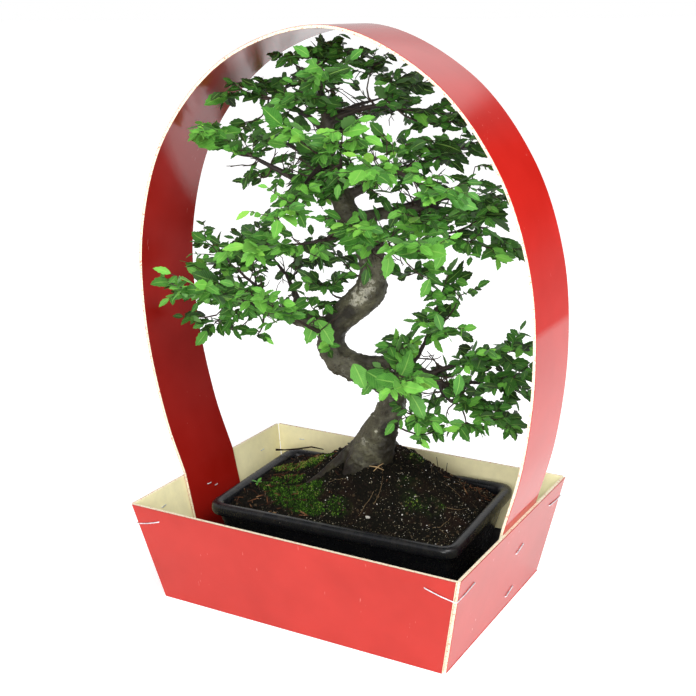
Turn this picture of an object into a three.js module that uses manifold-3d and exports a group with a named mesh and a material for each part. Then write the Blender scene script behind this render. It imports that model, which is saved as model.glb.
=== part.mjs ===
// A small elm-leaved tree trained as an S-shaped bonsai, in a black pot and drip tray, inside a low
// flared board crate with a wide board hoop for a handle. Millimetres, +Z up, +X along the crate's long
// side, +Y towards its back. The origin is the middle of the crate's underside.
import * as THREE from "three";
import { mergeVertices } from "three/addons/utils/BufferGeometryUtils.js";
import Module from "manifold-3d";

const wasm = await Module();
wasm.setup();
const { Manifold, Mesh } = wasm;

// Driving dimensions
const GAP = 0.3; // clearance between pieces that touch on the real thing

const CRATE = {
  height: 98.4,
  board: 3,
  baseHalfLength: 150.2,
  mouthHalfLength: 170,
  baseHalfDepth: 111.6,
  mouthHalfDepth: 129.4,
};

const HOOP = {
  board: 3,
  width: 82,
  centreY: 2.5, // middle of the band where it crosses the crate's centre
  skew: 0.062, // the band drifts back by this much for each millimetre to the right
  segments: 30,
  // outer face, from the left foot over the top to the right foot
  left: [
    [-187, 159],
    [-204, 252],
    [-202, 346],
    [-171, 435],
    [-100, 507],
  ],
  top: [0, 533],
  right: [
    [94, 491],
    [153, 420],
    [183, 339],
    [191, 254],
    [183, 165],
  ],
};

const WIRE = {
  radius: 0.65,
  sides: 3,
  bore: 1.6,
  stand: 0.9, // wire centre off the board's face
  clinch: 6, // length of each leg's bent end
};
// A wire bent round a corner, lowest at the corner itself
const CORNER_WIRE = {
  zLong: 86, // height of its leg in the long wall
  zEnd: 81, // and in the end wall
  zCorner: 78,
  reachLong: 30, // how far each leg is from the corner
  reachEnd: 36,
  press: 0.4, // how far it bites into the corner
};
// A staple through an end wall and the hoop's leg: wall, middle across and up, rise over its crown
const HOOP_STAPLE = { crown: 15, clinch: 4.8 };
const HOOP_STAPLES = {
  right_upper: { sign: 1, y: 23, z: 63, rise: 5 },
  right_lower: { sign: 1, y: 23, z: 17, rise: 5 },
  left_upper: { sign: -1, y: -12, z: 78, rise: -5 },
  left_lower: { sign: -1, y: -12, z: 20, rise: -5 },
};

const TRAY = { sheet: 1.2, height: 31, cornerRadius: 16, clear: 2.4 };

const POT = {
  height: 80,
  foot: 5,
  rimHalfLength: 129.4,
  rimHalfDepth: 85.6,
  rimRadius: 15,
  rimDepth: 13,
  wall: 3.6,
  taper: 15, // how far each side pulls in from under the rim to the base
  lip: 7, // how far the rolled rim stands out from the side
  floor: 5,
  drainRadius: 9,
  drainX: 55,
  footHalfLength: 17,
  footHalfDepth: 9,
  footRound: 4,
  footSplay: 2, // how much wider each foot is where it meets the pot
  bodyChamfer: 3,
  yaw: 3.3, // degrees, the pot isn't quite square in the crate
  centre: [-2.3, 24.6],
};

const SOIL = {
  edgeDrop: 8,
  sides: 26,
  rings: 6,
  lump: 1.3, // height of the fine lumps
  grain: 0.7,
  // gentle hills in the pot's own frame: middle x and y, half widths, height
  hills: [
    { at: [28, 26], size: [68, 46], height: 38 },
    { at: [2, -3], size: [50, 44], height: 30 },
    { at: [-50, 40], size: [56, 34], height: 17 },
  ],
};

// Trunk centre line with its radius: x, y, z, r
const TRUNK = [
  [-6, 30, 88, 29],
  [-1, 29, 106, 27],
  [5, 27, 124, 25],
  [13, 24, 142, 20],
  [20, 21, 158, 16.5],
  [28, 21, 174, 14],
  [32.5, 22, 190, 12.5],
  [26, 21, 205, 13.5],
  [3, 18, 214, 14],
  [-22, 16, 221, 14.5],
  [-33.5, 17, 238, 14],
  [-31, 20, 256, 14],
  [-13, 24, 272, 15.5],
  [6, 24, 289, 16],
  [13, 20, 313, 13],
  [8, 16, 335, 12],
  [-7, 15, 353, 12.5],
  [-17, 18, 373, 11],
  [-29, 22, 393, 8.5],
  [-35, 20, 412, 7],
  [-31, 16, 432, 6],
  [-35, 18, 453, 4.6],
  [-41, 20, 473, 3.4],
  [-40, 18, 490, 2],
];
const TRUNK_SIDES = 9;
const TRUNK_RINGS = 28;

// Roots that run out from the foot, with their angle in degrees
const ROOT = {
  rise: 1, // how far a root's start stands above the soil
  sink: 2, // how far its line then runs below the soil's face
  end: 7, // how deep its tip dives
  sides: 5,
};
const ROOTS = [
  { angle: 200, reach: 74, radius: 10 },
  { angle: 66, reach: 44, radius: 8 },
  { angle: 118, reach: 48, radius: 9 },
];

// Branches: centre line, radius at the start and at the tip, and the shoots each carries. The first
// shoot goes on from the tip. The rest leave it alternately on its two sides.
const BRANCHES = {
  leftMain: {
    line: [[-30, 19, 249], [-60, 5, 262], [-92, -12, 271], [-110, -24, 278], [-124, -36, 283]],
    start: 11.5,
    tip: 1.7,
    shoots: 3,
  },
  leftRise: {
    line: [[-79, -6, 268], [-94, -10, 288], [-110, -14, 302]],
    start: 5,
    tip: 1.6,
    shoots: 2,
  },
  leftBack: {
    line: [[-61, 6, 261], [-88, 40, 282], [-122, 62, 300]],
    start: 5,
    tip: 1.6,
    shoots: 2,
  },
  leftFront: {
    line: [[-97, -16, 272], [-90, -40, 282], [-92, -58, 290]],
    start: 3.6,
    tip: 1.5,
    shoots: 1,
  },
  lowFront: {
    line: [[-26, 10, 246], [-28, -20, 260], [-34, -42, 274]],
    start: 3.6,
    tip: 1.5,
    shoots: 1,
  },
  frontLeft: {
    line: [[-4, 9, 350], [-9, -18, 347], [-26, -42, 345]],
    start: 4.2,
    tip: 1.5,
    shoots: 1,
  },
  frontRight: {
    line: [[10, 9, 332], [40, -16, 345], [66, -38, 348]],
    start: 4,
    tip: 1.5,
    shoots: 2,
  },
  rightMain: {
    line: [[-8, 17, 358], [26, 35, 366], [52, 48, 369], [70, 62, 365], [82, 72, 357]],
    start: 8,
    tip: 1.7,
    shoots: 2,
  },
  rightLow: {
    line: [[38, 41, 365], [64, 34, 353], [82, 28, 350]],
    start: 3.8,
    tip: 1.5,
    shoots: 2,
  },
  rightBack: {
    line: [[24, 34, 366], [40, 78, 372], [62, 104, 371]],
    start: 4.4,
    tip: 1.6,
    shoots: 1,
  },
  crownLeft: {
    line: [[-17, 17, 374], [-44, 3, 390], [-68, -12, 404], [-88, -26, 418]],
    start: 6,
    tip: 1.6,
    shoots: 1,
  },
  crownLeftBack: {
    line: [[-31, 22, 398], [-78, 48, 413], [-116, 68, 421]],
    start: 4.6,
    tip: 1.6,
    shoots: 1,
  },
  crownRight: {
    line: [[-20, 19, 377], [12, 36, 396], [34, 48, 406], [48, 58, 411]],
    start: 6,
    tip: 1.6,
    shoots: 2,
  },
  crownRightFront: {
    line: [[-24, 15, 386], [22, -12, 410], [58, -32, 414], [84, -42, 408]],
    start: 5,
    tip: 1.6,
    shoots: 2,
  },
  crownFront: {
    line: [[-34, 16, 410], [-26, -24, 404], [-20, -52, 394]],
    start: 4.2,
    tip: 1.5,
    shoots: 1,
  },
  crownMiddle: {
    line: [[-20, 14, 388], [-2, -14, 404], [12, -38, 422]],
    start: 4.4,
    tip: 1.5,
    shoots: 2,
  },
  topFront: {
    line: [[-36, 17, 462], [-26, -8, 476], [-12, -26, 482]],
    start: 3,
    tip: 1.5,
    shoots: 1,
  },
  topBackRight: {
    line: [[-33, 18, 450], [-18, 42, 460], [-8, 62, 464]],
    start: 3.4,
    tip: 1.5,
    shoots: 1,
  },
  topRight: {
    line: [[-33, 18, 446], [-10, 20, 456], [14, 26, 462], [30, 30, 460]],
    start: 4.4,
    tip: 1.5,
    shoots: 1,
  },
  topLeft: {
    line: [[-32, 17, 436], [-60, 10, 458], [-86, 2, 468]],
    start: 4,
    tip: 1.5,
    shoots: 2,
  },
  topBack: {
    line: [[-33, 20, 428], [-34, 56, 441], [-30, 88, 446]],
    start: 4,
    tip: 1.5,
    shoots: 1,
  },
  lowMain: {
    line: [[-12, 17, 219], [15, 20, 225], [46, 28, 222], [66, 36, 212], [80, 44, 201], [92, 50, 194]],
    start: 8.5,
    tip: 2,
    shoots: 1,
  },
  lowRise: {
    line: [[62, 34, 214], [77, 43, 221], [91, 53, 224]],
    start: 4,
    tip: 1.5,
    shoots: 2,
  },
  lowRight: {
    line: [[76, 42, 203], [94, 58, 205], [108, 70, 201]],
    start: 3.6,
    tip: 1.5,
    shoots: 2,
  },
  lowDrop: {
    line: [[70, 38, 209], [82, 34, 194], [97, 34, 189]],
    start: 3,
    tip: 1.5,
    shoots: 1,
  },
  lowFrontRight: {
    line: [[29, 24, 224], [46, 0, 226], [58, -20, 228]],
    start: 4,
    tip: 1.5,
    shoots: 1,
  },
  lowUp: {
    line: [[46, 28, 222], [58, 30, 240], [66, 28, 260]],
    start: 3.6,
    tip: 1.5,
    shoots: 1,
  },
};
const SHOOT = {
  stub: 10, // length of wood that a side shoot stands on
  stubRadius: 1.6,
  stubWay: [0.55, 0.9, 0.32], // a stub's lean along the branch, across it and up
  topLength: 0.62, // of a full shoot, for the one on the trunk's tip
  sideLength: 0.92,
  radius: 1.25,
  taper: 0.08, // of its radius, lost with each segment
  length: 58,
  leaves: 6,
  segments: 3,
  bend: 0.35, // how far its end leaves the straight line, as part of its length
  rise: 0.12, // upward share of that bend
  firstLeaf: 0.16, // where the first and the last leaf sit along it
  lastLeaf: 0.985,
  clear: 0.6, // free space kept round it
  tries: 30,
};
const LEAF = {
  length: 24,
  width: 0.56, // of its length
  thickness: 0.75,
  fold: 13, // degrees that each half lifts from the midrib
  spread: 55, // degrees between a leaf and its twig
  sag: 0.12, // how much more it hangs than it lifts
  facing: [0.25, -0.5, 0.75], // where the upper faces look on average: to the light
  root: 0.3, // its foot starts this far off the twig's middle line
  clear: 0.35, // free space kept round it
  tries: 9,
  // half of the toothed outline, from the foot to the tip: along, across, as parts of length and half width
  half: [
    [0.4, 1],
    [0.53, 0.8],
    [0.74, 0.72],
  ],
};

const COLOUR = {
  red: 0xd8291f,
  black: 0x1b1c1f,
  earth: 0x2b221b,
  bark: 0x5f544a,
  leaf: 0x3f8f32,
  steel: 0xc9cbd0,
};

// A repeatable draw between 0 and 1 for a list of whole numbers
function draw(...keys) {
  let h = 2166136261;
  for (const key of keys) {
    h = Math.imul(h ^ (key + 1013), 2246822519);
    h ^= h >>> 15;
  }
  h = Math.imul(h ^ (h >>> 13), 3266489917);
  return ((h ^ (h >>> 16)) >>> 0) / 4294967296;
}
const spread = (amount, ...keys) => amount * (2 * draw(...keys) - 1);
const vec = (x, y, z) => new THREE.Vector3(x, y, z);
const rad = THREE.MathUtils.degToRad;
const lerp = THREE.MathUtils.lerp;

// Solids
function toManifold(geometry) {
  const bare = geometry.clone();
  bare.deleteAttribute("normal");
  bare.deleteAttribute("uv");
  const merged = mergeVertices(bare, 1e-4);
  return new Manifold(
    new Mesh({
      numProp: 3,
      vertProperties: merged.attributes.position.array,
      triVerts: new Uint32Array(merged.index.array),
    }),
  );
}

// A closed skin through rings that all have the same number of points, with a flat fan on both ends
function loft(rings) {
  const n = rings[0].length;
  const points = rings.flat();
  const faces = [];
  for (let i = 0; i + 1 < rings.length; i++) {
    for (let j = 0; j < n; j++) {
      const a = i * n + j;
      const b = i * n + ((j + 1) % n);
      faces.push(a, b, b + n, a, b + n, a + n);
    }
  }
  const last = (rings.length - 1) * n;
  for (let j = 1; j + 1 < n; j++) {
    faces.push(0, j + 1, j);
    faces.push(last, last + j, last + j + 1);
  }
  const geometry = new THREE.BufferGeometry().setFromPoints(points);
  geometry.setIndex(faces);
  return toManifold(geometry);
}

// Rings carried along a line of points without twisting. Each point has its own radius.
function ringsAlong(points, radii, sides, wobble = () => 1) {
  const rings = [];
  let across = null;
  points.forEach((p, i) => {
    const before = points[Math.max(i - 1, 0)];
    const after = points[Math.min(i + 1, points.length - 1)];
    const along = after.clone().sub(before).normalize();
    if (!across) across = Math.abs(along.z) < 0.9 ? vec(0, 0, 1) : vec(1, 0, 0);
    across = across.clone().addScaledVector(along, -across.dot(along)).normalize();
    const third = along.clone().cross(across);
    const ring = [];
    for (let j = 0; j < sides; j++) {
      const angle = (2 * Math.PI * j) / sides;
      const r = radii[i] * wobble(i, j);
      ring.push(
        p.clone().addScaledVector(across, r * Math.cos(angle)).addScaledVector(third, r * Math.sin(angle)),
      );
    }
    rings.push(ring);
  });
  return rings;
}

const rod = (points, radius, sides) =>
  loft(ringsAlong(points, points.map(() => radius), sides));

// A smooth limb through rows of x, y, z with the radius given for each row
function limb(rows, radii, sides, count, wobble) {
  const curve = new THREE.CatmullRomCurve3(rows.map((row) => vec(row[0], row[1], row[2])));
  const points = [];
  const sizes = [];
  for (let i = 0; i <= count; i++) {
    const t = i / count;
    const place = t * (rows.length - 1);
    const k = Math.min(Math.floor(place), rows.length - 2);
    points.push(curve.getPoint(t));
    sizes.push(lerp(radii[k], radii[k + 1], place - k));
  }
  return { points, sizes, solid: loft(ringsAlong(points, sizes, sides, wobble)) };
}

function roundedRectangle(halfLength, halfDepth, radius, z, steps = 4) {
  const ring = [];
  for (let corner = 0; corner < 4; corner++) {
    const sx = corner === 0 || corner === 3 ? 1 : -1;
    const sy = corner < 2 ? 1 : -1;
    for (let k = 0; k <= steps; k++) {
      const angle = ((corner + k / steps) * Math.PI) / 2;
      ring.push(
        vec(
          sx * (halfLength - radius) + radius * Math.cos(angle),
          sy * (halfDepth - radius) + radius * Math.sin(angle),
          z,
        ),
      );
    }
  }
  return ring;
}

// Crate
const halfLengthAt = (z) =>
  CRATE.baseHalfLength + ((CRATE.mouthHalfLength - CRATE.baseHalfLength) * z) / CRATE.height;
const halfDepthAt = (z) =>
  CRATE.baseHalfDepth + ((CRATE.mouthHalfDepth - CRATE.baseHalfDepth) * z) / CRATE.height;

// A leaning board with its outer face on the crate's slope. Its ends stop one board short of the corner,
// so that the raw ends of two boards show side by side.
function wall(longSide, sign) {
  const ring = (z) => {
    const outer = (longSide ? halfDepthAt(z) : halfLengthAt(z)) * sign;
    const inner = outer - CRATE.board * sign;
    const end = (longSide ? halfLengthAt(z) : halfDepthAt(z)) - CRATE.board - GAP / 2;
    const flat = [
      [-end, inner],
      [end, inner],
      [end, outer],
      [-end, outer],
    ];
    const points = flat.map(([a, b]) => (longSide ? vec(a, b, z) : vec(b, a, z)));
    const clockwise = longSide === sign > 0;
    return clockwise ? points : points.reverse();
  };
  return loft([ring(0), ring(CRATE.height)]);
}

function crateFloor() {
  const ring = (z) => {
    const a = halfLengthAt(z) - CRATE.board - GAP;
    const b = halfDepthAt(z) - CRATE.board - GAP;
    return [vec(-a, -b, z), vec(a, -b, z), vec(a, b, z), vec(-a, b, z)];
  };
  return loft([ring(0), ring(CRATE.board)]);
}

// Hoop
const innerFaceX = (z) => halfLengthAt(z) - CRATE.board - GAP;
const footZ = CRATE.board + GAP;

function hoopOutline() {
  const seat = [footZ, CRATE.height + 2];
  const leftFoot = seat.map((z) => [-innerFaceX(z), z]);
  const rightFoot = seat.map((z) => [innerFaceX(z), z]).reverse();
  const bow = [leftFoot[1], ...HOOP.left, HOOP.top, ...HOOP.right, rightFoot[0]];
  const curve = new THREE.CatmullRomCurve3(bow.map(([x, z]) => vec(x, 0, z)), false, "centripetal");
  return [vec(leftFoot[0][0], 0, leftFoot[0][1]), ...curve.getSpacedPoints(HOOP.segments),
    vec(rightFoot[1][0], 0, rightFoot[1][1])];
}

// The same line moved towards the inside of the arch
function inset(line, distance) {
  return line.map((p, i) => {
    const before = line[Math.max(i - 1, 0)];
    const after = line[Math.min(i + 1, line.length - 1)];
    const along = after.clone().sub(before).normalize();
    return p.clone().addScaledVector(vec(along.z, 0, -along.x), distance);
  });
}

function hoop() {
  const line = hoopOutline();
  const innerLine = inset(line, HOOP.board);
  const rings = line.map((p, i) => {
    const q = innerLine[i];
    if (i === 0 || i === line.length - 1) q.z = p.z;
    const face = (point, side) =>
      vec(point.x, HOOP.centreY + HOOP.skew * point.x + (side * HOOP.width) / 2, point.z);
    return [face(p, -1), face(q, -1), face(q, 1), face(p, 1)];
  });
  return loft(rings);
}

// The foliage keeps inside the arch, also as it is seen from the front right
const ARCH_MARGIN = 8;
const SIGHT_SLOPE = 0.56; // sideways travel of a line of sight for each millimetre of depth
const arch = inset(hoopOutline(), HOOP.board + ARCH_MARGIN);
function withinArch(x, z) {
  let inside = false;
  arch.forEach((a, i) => {
    const b = arch[(i + 1) % arch.length];
    const crosses = a.z > z !== b.z > z;
    if (crosses && x < lerp(a.x, b.x, (z - a.z) / (b.z - a.z))) inside = !inside;
  });
  return inside;
}
function insideArch({ x, y, z }) {
  const behind = y - HOOP.centreY - HOOP.skew * x - HOOP.width / 2;
  const before = behind + HOOP.width;
  const shift = behind > 0 ? behind : Math.min(before, 0);
  return withinArch(x, z) && withinArch(x + SIGHT_SLOPE * shift, z);
}

// Staples. Each is bent from one wire: a crown outside, two legs through the board and their clinched ends.
function boardPoint(side, sign, along, z, out) {
  if (side === "end") return vec(sign * (halfLengthAt(z) + out), along, z);
  return vec(along, sign * (halfDepthAt(z) + out), z);
}
const bores = [];

function cornerWire(signX, signY) {
  const { zLong, zEnd, zCorner, reachLong, reachEnd, press } = CORNER_WIRE;
  const longX = signX * (halfLengthAt(zLong) - reachLong);
  const endY = signY * (halfDepthAt(zEnd) - reachEnd);
  const inside = -CRATE.board - WIRE.stand;
  const onLong = (out, shift = 0) => boardPoint("long", signY, longX + shift, zLong, out);
  const onEnd = (out, shift = 0) => boardPoint("end", signX, endY + shift, zEnd, out);
  const cornerAt = (outX, outY) =>
    vec(signX * (halfLengthAt(zCorner) + outX), signY * (halfDepthAt(zCorner) + outY), zCorner);
  for (const at of [onLong, onEnd]) bores.push([at(WIRE.stand + 1), at(inside - 1)]);
  const path = [
    onLong(inside, -signX * WIRE.clinch),
    onLong(inside),
    onLong(WIRE.stand),
    cornerAt(-press, WIRE.stand),
    cornerAt(WIRE.stand, -press),
    onEnd(WIRE.stand),
    onEnd(inside),
    onEnd(inside, -signY * WIRE.clinch),
  ];
  return rod(path, WIRE.radius, WIRE.sides);
}

function hoopStaple({ sign, y, z, rise }) {
  const depth = -CRATE.board - GAP - HOOP.board - WIRE.stand - 0.5;
  const half = HOOP_STAPLE.crown / 2;
  const at = (side, out, shift = 0) =>
    boardPoint("end", sign, y + side * (half - shift), z + (side * rise) / 2, out);
  for (const side of [-1, 1]) bores.push([at(side, WIRE.stand + 1), at(side, depth - 1)]);
  const path = [
    at(-1, depth, HOOP_STAPLE.clinch),
    at(-1, depth),
    at(-1, WIRE.stand),
    at(1, WIRE.stand),
    at(1, depth),
    at(1, depth, HOOP_STAPLE.clinch),
  ];
  return rod(path, WIRE.radius, WIRE.sides);
}

// Drip tray, an open box of thin sheet that fills the crate's floor between the hoop's feet
function tray() {
  const base = footZ;
  const a = (z) => innerFaceX(z) - HOOP.board - TRAY.clear;
  const b = (z) => halfDepthAt(z) - CRATE.board - GAP;
  const outer = (z) => roundedRectangle(a(z), b(z), TRAY.cornerRadius, z, 3);
  const inner = (z) =>
    roundedRectangle(a(z) - TRAY.sheet, b(z) - TRAY.sheet, TRAY.cornerRadius - TRAY.sheet, z, 3);
  return loft([outer(base), outer(base + TRAY.height), inner(base + TRAY.height), inner(base + TRAY.sheet)]);
}
const trayFloor = footZ + TRAY.sheet;

// Pot, made upright about its own middle, then turned and set on the tray
const potBase = trayFloor + GAP;
const potRimZ = potBase + POT.height;
function potRing(inset, z, steps = 3) {
  const radius = Math.max(POT.rimRadius - inset * 0.6, 5);
  return roundedRectangle(POT.rimHalfLength - inset, POT.rimHalfDepth - inset, radius, z, steps);
}
const sideInset = (z) => {
  const under = potRimZ - POT.rimDepth;
  return POT.lip + (POT.taper * (under - z)) / (under - potBase);
};
function pot() {
  const under = potRimZ - POT.rimDepth;
  const innerTop = POT.lip + POT.wall + 1;
  const belly = potBase + POT.foot;
  let body = loft([
    potRing(sideInset(belly) + POT.bodyChamfer, belly),
    potRing(sideInset(belly + POT.bodyChamfer + 2), belly + POT.bodyChamfer + 2),
    potRing(sideInset(under), under),
    potRing(2, under + 1),
    potRing(0, under + 4),
    potRing(0, potRimZ - 3),
    potRing(2, potRimZ - 0.5),
    potRing(5.5, potRimZ),
    potRing(innerTop, potRimZ - 2.5),
    potRing(sideInset(belly + POT.floor) + POT.wall, belly + POT.floor),
  ]);
  const footRing = (x, y, z, grown) =>
    roundedRectangle(POT.footHalfLength + grown, POT.footHalfDepth + grown, POT.footRound, z, 1).map((p) =>
      p.add(vec(x, y, 0)),
    );
  const foot = (x, y) => loft([footRing(x, y, potBase, 0), footRing(x, y, belly + 2, POT.footSplay)]);
  const footX = POT.rimHalfLength - sideInset(potBase) - POT.footHalfLength - 7;
  const footY = POT.rimHalfDepth - sideInset(potBase) - POT.footHalfDepth - 7;
  for (const sx of [-1, 1]) {
    for (const sy of [-1, 1]) body = body.add(foot(sx * footX, sy * footY));
  }
  for (const sx of [-1, 1]) {
    const x = sx * POT.drainX;
    const drain = rod([vec(x, 0, potBase), vec(x, 0, belly + POT.floor + 4)], POT.drainRadius, 12);
    body = body.subtract(drain);
  }
  return body;
}
const setPot = (solid) =>
  solid.rotate([0, 0, POT.yaw]).translate([POT.centre[0], POT.centre[1], 0]);

// Soil: it fills the pot and rises in a lumpy mound to the trunk
function moundHeight(x, y) {
  const lumps = SOIL.lump * Math.sin(x * 0.16 + 1.3 * Math.sin(y * 0.11)) * Math.cos(y * 0.19 + 0.6);
  return SOIL.hills.reduce((sum, { at, size, height }) => {
    const dx = (x - at[0]) / size[0];
    const dy = (y - at[1]) / size[1];
    return sum + height * Math.exp(-dx * dx - dy * dy);
  }, lumps);
}
const edgeZ = potRimZ - SOIL.edgeDrop;

// The same closed line with evenly spaced points
function evenly(ring, count) {
  const path = new THREE.CurvePath();
  ring.forEach((p, i) => path.add(new THREE.LineCurve3(p, ring[(i + 1) % ring.length])));
  return path.getSpacedPoints(count).slice(0, count);
}

// Height of the soil at a place in the crate's frame
function soilZ(x, y) {
  const local = vec(x - POT.centre[0], y - POT.centre[1], 0).applyAxisAngle(vec(0, 0, 1), -rad(POT.yaw));
  return edgeZ + moundHeight(local.x, local.y);
}

function soilBlock() {
  const bottom = potBase + POT.foot + POT.floor + GAP;
  const wallInset = (z) => {
    const low = potBase + POT.foot + POT.floor;
    const high = potRimZ - 2.5;
    const t = (z - low) / (high - low);
    return lerp(sideInset(low) + POT.wall, POT.lip + POT.wall + 1, t) + GAP + 0.05;
  };
  const level = (z) => evenly(potRing(wallInset(z), z, 6), SOIL.sides);
  const rings = [level(bottom), level(edgeZ)];
  const edge = rings[1];
  for (let i = 1; i < SOIL.rings; i++) {
    const t = i / SOIL.rings;
    rings.push(
      edge.map((p, j) => {
        const x = lerp(p.x, SOIL.hills[0].at[0], t);
        const y = lerp(p.y, SOIL.hills[0].at[1], t);
        const ease = Math.min(1, 4 * t);
        return vec(x, y, edgeZ + ease * moundHeight(x, y) + spread(SOIL.grain, i, j, 5));
      }),
    );
  }
  return loft(rings);
}

// Trunk and surface roots. With a clearance, the same call makes the hole that they stand in.
const barkWobble = (i, j) =>
  1 + 0.05 * Math.sin(2.1 * j + 0.7 * i) + 0.045 * Math.cos(0.9 * i + 1.7 * j) + spread(0.035, i, j, 7);

function trunk(clearance) {
  const radii = TRUNK.map((row) => row[3] + clearance);
  const rows = TRUNK.map((row) => row.slice(0, 3));
  if (clearance) rows[0] = [rows[0][0], rows[0][1], rows[0][2] - clearance];
  return limb(rows, radii, TRUNK_SIDES, TRUNK_RINGS, barkWobble).solid;
}

function root({ angle, reach, radius }, clearance, index) {
  const c = Math.cos(rad(angle));
  const s = Math.sin(rad(angle));
  const at = (distance, above) => {
    const x = TRUNK[1][0] + c * distance;
    const y = TRUNK[1][1] + s * distance;
    return [x, y, soilZ(x, y) + above];
  };
  const near = 22;
  const rows = [
    at(8, ROOT.rise),
    at(near, -ROOT.sink),
    at(lerp(near, reach, 0.6), -ROOT.sink),
    at(reach + clearance, -ROOT.end - clearance),
  ];
  const radii = [1, 0.85, 0.55, 0.35].map((part) => part * radius + clearance);
  return limb(rows, radii, ROOT.sides, rows.length, (i, j) => 1 + spread(0.08, i, j, 20 + index)).solid;
}

function foot(clearance) {
  return ROOTS.reduce((body, spec, i) => body.add(root(spec, clearance, i)), trunk(clearance));
}

// Branches, and the places where shoots go on from them
function grow() {
  let wood = foot(0);
  const seats = [];
  const top = TRUNK[TRUNK.length - 1];
  const neck = TRUNK[TRUNK.length - 2];
  const upTrunk = vec(top[0] - neck[0], top[1] - neck[1], top[2] - neck[2]).normalize();
  seats.push({ from: vec(top[0], top[1], top[2]), way: upTrunk, length: SHOOT.topLength });
  Object.values(BRANCHES).forEach((branch, b) => {
    const { line, start, tip, shoots } = branch;
    const radii = line.map((_, i) => lerp(start, tip, Math.pow(i / (line.length - 1), 0.8)));
    const sides = start > 5 ? 6 : 4;
    const count = Math.round((line.length - 1) * 1.5);
    const bough = limb(line, radii, sides, count, (i, j) =>
      i === count ? 1 : 1 + spread(0.1, b, i, j),
    );
    wood = wood.add(bough.solid);
    const last = bough.points.length - 1;
    const way = bough.points[last].clone().sub(bough.points[last - 1]).normalize();
    seats.push({ from: bough.points[last], way, length: 1 });
    for (let k = 1; k < shoots; k++) {
      const t = 1 - (0.62 * k) / shoots - 0.06;
      const place = t * last;
      const i = Math.floor(place);
      const from = bough.points[i].clone().lerp(bough.points[i + 1], place - i);
      const along = bough.points[i + 1].clone().sub(bough.points[i]).normalize();
      const across = along.clone().cross(vec(0, 0, 1)).normalize();
      const hand = k % 2 ? 1 : -1;
      const [onward, sideways, up] = SHOOT.stubWay;
      const out = along
        .clone()
        .multiplyScalar(onward)
        .addScaledVector(across, hand * sideways)
        .addScaledVector(vec(0, 0, 1), up + spread(0.3, b, k, 3))
        .normalize();
      const reach = bough.sizes[i] + SHOOT.stub;
      const end = from.clone().addScaledVector(out, reach);
      wood = wood.add(rod([from, end], SHOOT.stubRadius, 3));
      seats.push({ from: end, way: out, length: SHOOT.sideLength });
    }
  });
  return { wood, seats };
}

// One leaf, a thin blade folded along its midrib, with two teeth on each side
function leaf(foot, along, face, length, grow = 0) {
  const across = face.clone().cross(along).normalize();
  const up = along.clone().cross(across).normalize();
  const halfWidth = (length * LEAF.width) / 2 + grow;
  const lift = Math.tan(rad(LEAF.fold));
  const place = (a, w, h) =>
    foot
      .clone()
      .addScaledVector(along, a * (length + grow))
      .addScaledVector(across, w * halfWidth)
      .addScaledVector(up, Math.abs(w) * halfWidth * lift + h);
  const outline = [[0, 0], ...LEAF.half, [1, 0], ...LEAF.half.map(([a, w]) => [a, -w]).reverse()];
  const half = LEAF.thickness / 2 + grow;
  const points = [
    ...outline.map(([a, w]) => place(a, w, half)),
    ...outline.map(([a, w]) => place(a, w, -half)),
  ];
  // corners: 0 foot, 1 tooth, 2 notch, 3 tooth, 4 tip, 5 tooth, 6 notch, 7 tooth
  const blade = [
    [0, 4, 1],
    [1, 4, 2],
    [2, 4, 3],
    [0, 7, 4],
    [4, 7, 6],
    [4, 6, 5],
  ];
  const faces = [];
  for (const [a, b, c] of blade) {
    faces.push(a, b, c);
    faces.push(a + 8, c + 8, b + 8);
  }
  for (let i = 0; i < 8; i++) {
    const j = (i + 1) % 8;
    faces.push(i, j, j + 8, i, j + 8, i + 8);
  }
  const geometry = new THREE.BufferGeometry().setFromPoints(points);
  geometry.setIndex(faces);
  return toManifold(geometry);
}

// What has been placed so far, with its box for a quick test
const taken = [];
function claim(solid) {
  taken.push({ solid, box: solid.boundingBox() });
}
const apart = (a, b) =>
  [0, 1, 2].some((k) => a.min[k] > b.max[k] || b.min[k] > a.max[k]);
function isFree(solid, others = taken) {
  const box = solid.boundingBox();
  return others.every(
    (other) => apart(box, other.box) || solid.intersect(other.solid).isEmpty(),
  );
}

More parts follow.
